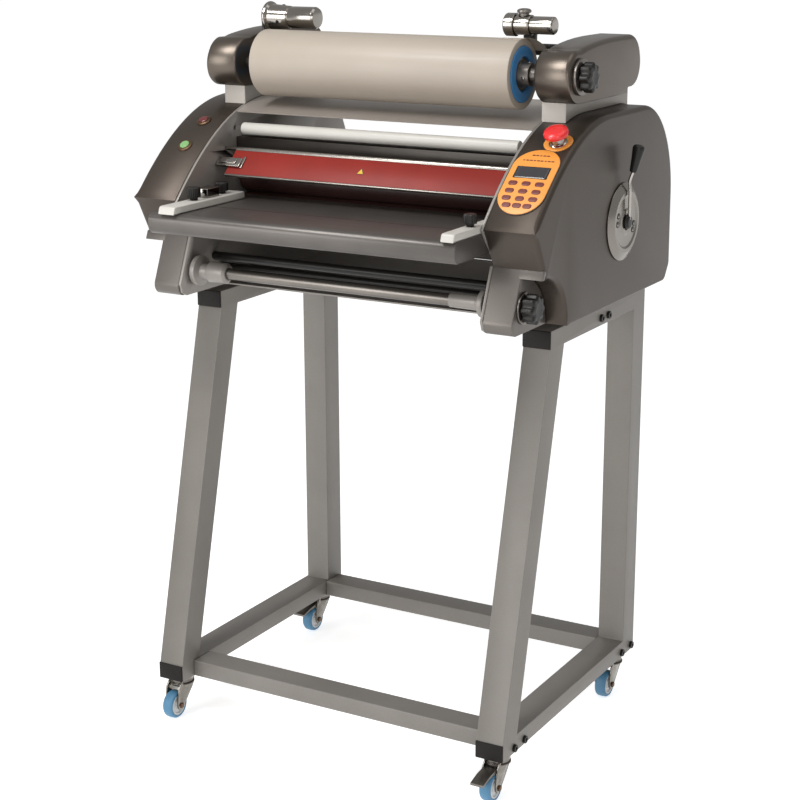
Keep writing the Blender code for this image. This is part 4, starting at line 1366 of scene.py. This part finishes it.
    def latch(self, top: Array, along: Array, out: Array) -> None:
        """Chrome catch lying on the guard's left end, with its bent tongue.

        Args:
            top: Guard's hinge point.
            along: Direction down the guard.
            out: Direction out of its face.
        """
        for name, start, end, rise, thick, x_from, x_to in (
                ("guard_latch", 0.0240, 0.0420, 0.0050, 0.0030, -0.2850, -0.2360),
                ("guard_latch_bar", 0.0285, 0.0375, 0.0090, 0.0015, -0.2800, -0.2440),
                ("guard_latch_tongue", 0.0180, 0.0420, 0.0032, 0.0012, -0.2375, -0.2325)):
            low, high = top + along * start + out * rise, top + along * end + out * rise
            strap = Shapes.rounded([low + out * thick, high + out * thick, high - out * thick,
                                    low - out * thick], 0.0010, 3)
            settle(Shapes.slab(name, strap, x_from, x_to, 0.0010, CHROME, 3,
                               inner_edge=0.0010), "guard", "bright_steel")

    def top(self) -> None:
        """Curved sheet cover over the rollers."""
        node = "top_cover"
        y = np.linspace(0.200, CROWN_FRONT, 24)
        crown, fall = 1.0975, FRONT_CURL * (CROWN_FRONT - y) ** 2
        outer = np.vstack([np.stack([y, crown - fall], 1),
                           np.stack([np.linspace(0.31, 0.434, 6), np.full(6, crown)], 1),
                           Shapes.arc((CROWN_BACK, 0.930), 0.134, 90, 63.5, 12, 0.1675)])
        normal = Shapes.corner_normals(np.vstack([outer, [[0.35, 0.5]]]))[:-1]
        normal[0], normal[-1] = normal[1], normal[-2]
        outline = np.vstack([outer, (outer + normal * self.cover)[::-1]])
        low, high = span(node)
        settle(Shapes.slab("top_sheet", outline, low[0], high[0], 0.0003, TOP_METAL, 2,
                           inner_edge=0.0003), "machine", "panel_paint", node)


@dataclass
class Controls:
    """Control panel, emergency stop, start and stop buttons, and the pressure control.

    Attributes:
        housings: Gives the curved front that the controls stand on.
        nose: y where distances along the curved front are measured from.
        panel: (x, run) of the panel's centre.
        display_rise: Distance of the display above that centre.
        seat: Height at which things on the panel start, just under its face.
        stem: Radius of the push buttons' stems.
        socket: Radius of the holes round the stems.
        stop: (x, y) of the emergency stop.
        lever_pivot: (y, z) of the lever's hub.
    """

    housings: Housings
    nose: float = 0.0187
    panel: tuple[float, float] = (0.3312, 0.1026)
    display_rise: float = 0.0150
    seat: float = 0.0018
    stem: float = 0.0085
    socket: float = 0.0088
    stop: tuple[float, float] = (0.345, 0.1675)
    lever_pivot: tuple[float, float] = (0.355, 0.915)

    def build(self) -> None:
        """Build each control."""
        self.key_panel()
        self.emergency_stop()
        self.buttons()
        self.dial()
        self.lever()

    def lay(self, flat: Array, lift: Array) -> Array:
        """Carry flat (x, run) points onto the curved front, lifted along its normal.

        The run is measured along the curve: y is found from the table of arc lengths
        s(y) = integral of sqrt(1 + slope^2).

        Args:
            flat: (n, 2) x and distance along the front from the nose.
            lift: Height above the surface.

        Returns:
            (n, 3) points.
        """
        table = np.linspace(self.nose, CROWN_FRONT, 600)
        z, _ = self.housings.on_front(table)
        run = np.concatenate([[0.0], np.cumsum(np.hypot(np.diff(table), np.diff(z)))])
        y = np.interp(flat[:, 1], run, table)
        z, normal = self.housings.on_front(y)
        yz = np.stack([y, z], 1) + normal * np.asarray(lift)[:, None]
        return np.column_stack([flat[:, 0], yz])

    def plate(self, name: str, outline: Array, centre: Array, heights: list[tuple[float, float]],
              finish: Finish) -> bpy.types.Object:
        """Raised plate on the curved front.

        Ring k is the outline drawn in by inset_k along its corner normals and lifted by
        height_k; inside the last ring, the top is filled with rings scaled to the centre.

        Args:
            name: Object name.
            outline: (n, 2) outline of x and run, in metres from the centre.
            centre: x and run of the centre.
            heights: (inset, height) of each ring.
            finish: Surface finish.

        Returns:
            The plate.
        """
        normals = Shapes.corner_normals(outline)
        rings = [outline + inset * normals for inset, _ in heights]
        lifts = [height for _, height in heights]
        shares = (0.75, 0.5, 0.25, 0.0)
        rings += [rings[-1] * share for share in shares]
        lifts += [lifts[-1]] * len(shares)
        flat = np.concatenate(rings) + centre
        lift = np.repeat(lifts, len(outline))
        points = self.lay(flat, lift)
        faces = Shapes.quads(len(rings), len(outline), True) + [list(range(len(outline)))]
        return Shapes.mesh(name, points, faces, finish, 40)

    def key_panel(self) -> None:
        """Orange capsule with a dark rim, a display, twelve keys and plain dashes."""
        self.capsule()
        self.display()
        self.keys()
        self.dashes()

    def capsule(self) -> None:
        """Orange plate with round ends, on a slightly larger dark rim."""
        centre = np.array(self.panel)
        half, long = 0.0393, 0.0682
        outline = Shapes.rounded([(-half, -long), (half, -long), (half, long), (-half, long)],
                                 half * 0.985, 14)
        settle(self.plate("panel_rim", outline * 1.022, centre,
                          [(0.0, -0.0003), (0.0, 0.0010), (0.0004, 0.0013)], INK), "machine",
               "panel_orange")
        settle(self.plate("panel_capsule", outline, centre,
                          [(0.0, -0.0003), (0.0, 0.0012), (0.0005, 0.0020), (0.0012, 0.0022)],
                          ORANGE), "machine", "panel_orange", "control_panel")

    def display(self) -> None:
        """Dark window in a black bezel."""
        centre = np.array(self.panel) + (0.0, self.display_rise)
        ring = [(0.0, self.seat), (0.0001, 0.00235), (0.0004, 0.0024)]
        screen = Shapes.rounded([(-0.0265, -0.0115), (0.0265, -0.0115), (0.0265, 0.0115),
                                 (-0.0265, 0.0115)], 0.0015, 3)
        settle(self.plate("display_bezel", screen * 1.09, centre, ring, BLACK), "machine",
               "black_plastic")
        settle(self.plate("display_window", screen, centre,
                          [(0.0, self.seat), (0.0, 0.0026), (0.0004, 0.0028)], LCD), "machine",
               "black_plastic")

    def keys(self) -> None:
        """Four rows of three keys; the lowest row is drawn in towards its middle."""
        key = Shapes.rounded([(-0.0075, -0.0045), (0.0075, -0.0045), (0.0075, 0.0045),
                              (-0.0075, 0.0045)], 0.0042, 5)
        for row, run in enumerate((0.0940, 0.0785, 0.0640, 0.0505)):
            for column, x in enumerate((-0.0225, 0.0, 0.0225)):
                drawn = x * (0.78 if row == 3 else 1.0)
                settle(self.plate(f"key_{row}_{column}", key, np.array([0.3305 + drawn, run]),
                                  [(0.0, self.seat), (0.0001, 0.0027), (0.0006, 0.0031),
                                   (0.0014, 0.0033)], KEY_RED), "machine", "signal_red")

    def dashes(self) -> None:
        """Two rows of plain dashes above the display, in place of lettering."""
        for row, run, count in ((0, 0.1440, 9), (1, 0.1560, 5)):
            for i in range(count):
                long = 0.0026 if (i + row) % 3 else 0.0017
                x = 0.3318 + 0.0061 * (i - (count - 1) / 2)
                line = Shapes.rounded([(-long, -0.0013), (long, -0.0013), (long, 0.0013),
                                       (-long, 0.0013)], 0.0006, 2)
                settle(self.plate(f"panel_dash_{row}_{i}", line, np.array([x, run]),
                                  [(0.0, self.seat), (0.0001, 0.00232)], KEY_RED),
                       "machine", "panel_orange")

    def emergency_stop(self) -> None:
        """Red mushroom, hollow round a bright collar it closes over, on an orange plate."""
        x, y = self.stop
        z, normal = self.housings.on_front(y)
        base, way = np.array([x, y, float(z)]), np.array([0.0, *normal])
        head = np.vstack([
            Shapes.profile([(-0.012, 0.0), (-0.012, self.stem), (0.0178, self.stem),
                            (0.0178, 0.0132), (0.0150, 0.0132)], 0.0003),
            Shapes.profile([(0.0150, 0.0136), (0.0150, 0.0175), (0.0162, 0.0198),
                            (0.0205, 0.0199), (0.0238, 0.0182), (0.0256, 0.0140),
                            (0.0265, 0.0080), (0.0268, 0.0)], 0.0012)])
        settle(Shapes.turned("stop_mushroom", head, base, way, RED, 72), "e_stop", "signal_red",
               "e_stop_button")
        collar = Shapes.profile([(-0.0002, self.socket), (-0.0002, 0.0150), (0.0020, 0.0150),
                                 (0.0036, 0.0122), (0.0125, 0.0118), (0.0130, self.socket)],
                                0.0008)
        settle(Shapes.turned("stop_collar", collar, base, way, CHROME, 64, ring=True),
               "machine", "bright_steel")
        run = np.linspace(0, 2 * math.pi, 48, endpoint=False)
        ring = 0.0235 * np.stack([np.cos(run), np.sin(run)], 1)
        settle(self.plate("stop_ring_plate", ring, np.array([x, 0.1935]),
                          [(0.0, -0.0002), (0.0, 0.0010), (0.0004, 0.0013)], ORANGE), "machine",
               "panel_orange")

    def buttons(self) -> None:
        """Stop and start buttons on the left, each in a bright bezel."""
        for name, y, finish, slot in (("stop", 0.164, DARK_RED, "signal_red"),
                                      ("start", 0.107, GREEN, "signal_green")):
            z, normal = self.housings.on_front(y)
            base, way = np.array([-0.330, y, float(z)]), np.array([0.0, *normal])
            cap = Shapes.profile([(-0.008, 0.0), (-0.008, self.stem), (0.0042, self.stem),
                                  (0.0052, 0.0070), (0.0055, 0.0)], 0.0008)
            settle(Shapes.turned(f"{name}_cap", cap, base, way, finish, 48), f"{name}_push",
                   slot, f"{name}_button")
            bezel = Shapes.profile([(-0.0002, self.socket), (-0.0002, 0.0135),
                                    (0.0020, 0.0130), (0.0034, 0.0108),
                                    (0.0034, self.socket)], 0.0005)
            settle(Shapes.turned(f"{name}_bezel", bezel, base, way, BRONZE, 48, ring=True),
                   "machine", "bright_steel")

    def dial(self) -> None:
        """Domed steel pressure plate with a raised ring, a dished middle and four screws."""
        low, high = span("pressure_dial")
        centre = np.array([0.0, (low[1] + high[1]) / 2, (low[2] + high[2]) / 2])
        rim = (high[2] - low[2]) / 2
        start, top = low[0], high[0]
        dish = Shapes.profile([(start, 0.0063), (start, rim), (start + 0.0022, rim),
                               (top - 0.0008, rim - 0.0120), (top, rim - 0.0140),
                               (top, rim - 0.0200), (top - 0.0020, rim - 0.0235),
                               (top - 0.0020, 0.0230), (top - 0.0006, 0.0190),
                               (top - 0.0006, 0.0140), (top - 0.0030, 0.0130),
                               (top - 0.0030, 0.0063)], 0.0006)
        settle(Shapes.turned("dial_dish", dish, centre, ACROSS, DIAL_METAL, 96, ring=True),
               "machine", "black_plastic", "pressure_dial")
        for i, turn in enumerate(np.radians([180, 157, -12, -30])):
            place = (centre + np.array([top - 0.0020, 0, 0])
                     + 0.0345 * np.array([0, math.cos(turn), math.sin(turn)]))
            seat = Shapes.profile([(-0.0004, 0.0), (-0.0004, 0.0052), (0.0007, 0.0052),
                                   (0.0007, 0.0036), (0.0003, 0.0034), (0.0003, 0.0)], 0.0002)
            settle(Shapes.turned(f"dial_seat_{i}", seat, place, ACROSS, BLACK, 28),
                   "machine", "black_plastic")
            screw(f"dial_screw_{i}", place + (0.0002, 0, 0), ACROSS, "machine", 0.0030,
                  CHROME)

    def lever(self) -> None:
        """Black hub, thin bright shank with a bend near its top, and a flared black grip."""
        y, z = self.lever_pivot
        hub = Shapes.profile([(0.3788, 0.0), (0.3788, 0.0058), (0.3854, 0.0058),
                              (0.3854, 0.0120), (0.3885, 0.0125), (0.3905, 0.0110),
                              (0.3928, 0.0090), (0.3930, 0.0)], 0.0008)
        settle(Shapes.turned("lever_hub", hub, (0.0, y, z), ACROSS, BLACK, 48), "lever",
               "black_plastic", "pressure_lever")
        corners = np.array([(0.3905, z + 0.004), (0.3903, 0.970), (0.3890, 0.980),
                            (0.3949, 0.9995)])
        share = np.linspace(0.0, 1.0, 9)[:, None]
        first = corners[0] + (corners[1] - corners[0]) * 0.9 * share
        bend = ((1 - share) ** 2 * first[-1] + 2 * share * (1 - share) * corners[1]
                + share ** 2 * corners[2])
        turn = ((1 - share) ** 2 * bend[-1]
                + 2 * share * (1 - share) * (corners[2] + (-0.0006, 0.0040))
                + share ** 2 * corners[3])
        line = np.vstack([first, bend[1:], turn[1:]])
        path = np.column_stack([line[:, 0], np.full(len(line), y), line[:, 1]])
        settle(Shapes.swept("lever_shank", path, np.full(len(path), 0.0026), STEEL, 20),
               "lever", "bright_steel")
        foot, tip = np.array([0.3946, y, 0.9982]), np.array([0.4046, y, 1.0425])
        long = float(np.linalg.norm(tip - foot))
        grip = Shapes.profile([(0.0, 0.0), (0.0, 0.0058), (0.0030, 0.0064),
                               (long * 0.5, 0.0082), (long * 0.88, 0.0103),
                               (long - 0.0020, 0.0096), (long, 0.0070), (long, 0.0)], 0.0018)
        settle(Shapes.turned("lever_grip", grip, foot, (tip - foot) / long, BLACK, 48),
               "lever", "black_plastic")


@dataclass(frozen=True)
class Studio:
    """Pale floor, soft lights and the camera.

    Attributes:
        eye: Camera place in the machine's frame.
        azimuth: Degrees right of straight on.
        elevation: Degrees above level.
        roll: Degrees of tilt about the line of sight.
        lens: Focal length in millimetres.
        sensor: Width of the sensor in millimetres.
        reach: Half the floor's width.
        floor_glow: Emission of the floor.
        sky: Strength of the sky.
        view_end: Furthest distance that the camera sees.
    """

    eye: tuple[float, float, float] = (1.5219, -2.3845, 1.4214)
    azimuth: float = 29.82
    elevation: float = 15.43
    roll: float = -0.163
    lens: float = 80.57
    sensor: float = 36.0
    reach: float = 90.0
    floor_glow: float = 0.72
    sky: float = 0.50
    view_end: float = 250.0

    def build(self) -> None:
        """Set up the floor, the lights, the sky and the camera."""
        self.floor()
        self.lights()
        self.camera()

    def floor(self) -> None:
        """Plain pale floor, lit through from below as a studio table is, and a dim sky."""
        reach = self.reach
        corners = np.array([(-reach, -reach, 0), (reach, -reach, 0), (reach, reach, 0),
                            (-reach, reach, 0)], float)
        made = bpy.data.meshes.new("studio_floor")
        made.from_pydata(corners, [], [[0, 1, 2, 3]])
        floor = bpy.data.objects.new("studio_floor", made)
        bpy.context.scene.collection.objects.link(floor)
        made.materials.append(Finish("studio_white", (0.84, 0.84, 0.84), 0.9, drift=0.0,
                                     bump=0.0, glow=self.floor_glow).build())
        world = bpy.data.worlds.new("studio_sky")
        world.use_nodes = True
        background = world.node_tree.nodes["Background"]
        background.inputs["Color"].default_value = (1.0, 1.0, 1.0, 1.0)
        background.inputs["Strength"].default_value = self.sky
        bpy.context.scene.world = world
        bpy.context.scene.view_settings.view_transform = "Standard"

    def lights(self) -> None:
        """Broad key low on the front left, and weaker lamps from the right and above."""
        for name, place, aim, size, power in (
                ("key", (-1.5, -3.0, 1.5), (0.0, 0.2, 0.8), 1.8, 54.0),
                ("fill", (2.2, -2.8, 1.8), (0.2, 0.2, 0.8), 1.4, 22.0),
                ("crown", (-0.39, -0.76, 2.35), (0.34, -0.25, 0.90), 0.7, 22.0),
                ("top", (0.9, 0.2, 3.6), (0.0, 0.2, 0.9), 1.8, 12.0)):
            lamp = bpy.data.lights.new(name, "AREA")
            lamp.energy = power
            lamp.size = size
            holder = bpy.data.objects.new(name, lamp)
            bpy.context.scene.collection.objects.link(holder)
            self.point(holder, np.array(place) + Shapes.origin, np.array(aim) + Shapes.origin)

    @staticmethod
    def point(holder: bpy.types.Object, place: Array, aim: Array) -> None:
        """Stand an object at a place and turn its -Z axis to a target."""
        holder.location = place
        holder.rotation_euler = Vector(aim - place).to_track_quat("-Z", "Y").to_euler()

    def camera(self) -> None:
        """Camera looking down by the elevation and left by the azimuth."""
        turn = (Matrix.Rotation(math.radians(self.azimuth), 4, "Z")
                @ Matrix.Rotation(math.radians(90 - self.elevation), 4, "X")
                @ Matrix.Rotation(math.radians(self.roll), 4, "Z"))
        optics = bpy.data.cameras.new("camera")
        optics.lens = self.lens
        optics.sensor_width = self.sensor
        optics.clip_end = self.view_end
        holder = bpy.data.objects.new("camera", optics)
        holder.matrix_world = Matrix.Translation(np.array(self.eye) + Shapes.origin) @ turn
        bpy.context.scene.collection.objects.link(holder)
        bpy.context.scene.camera = holder


def main() -> None:
    """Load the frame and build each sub-assembly."""
    logging.basicConfig(level=logging.INFO, format="%(message)s")
    FRAME.update(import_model())
    Shapes.settle()
    housings = Housings()
    for assembly in (Stand(), housings, Shoulders(), Supply(), TakeUp(), Rollers(), WorkArea(),
                     Controls(housings), Studio()):
        LOG.info("building %s", type(assembly).__name__)
        assembly.build()
    dress("drive_motor", BLACK, 0.001)


if __name__ == "__main__":
    main()
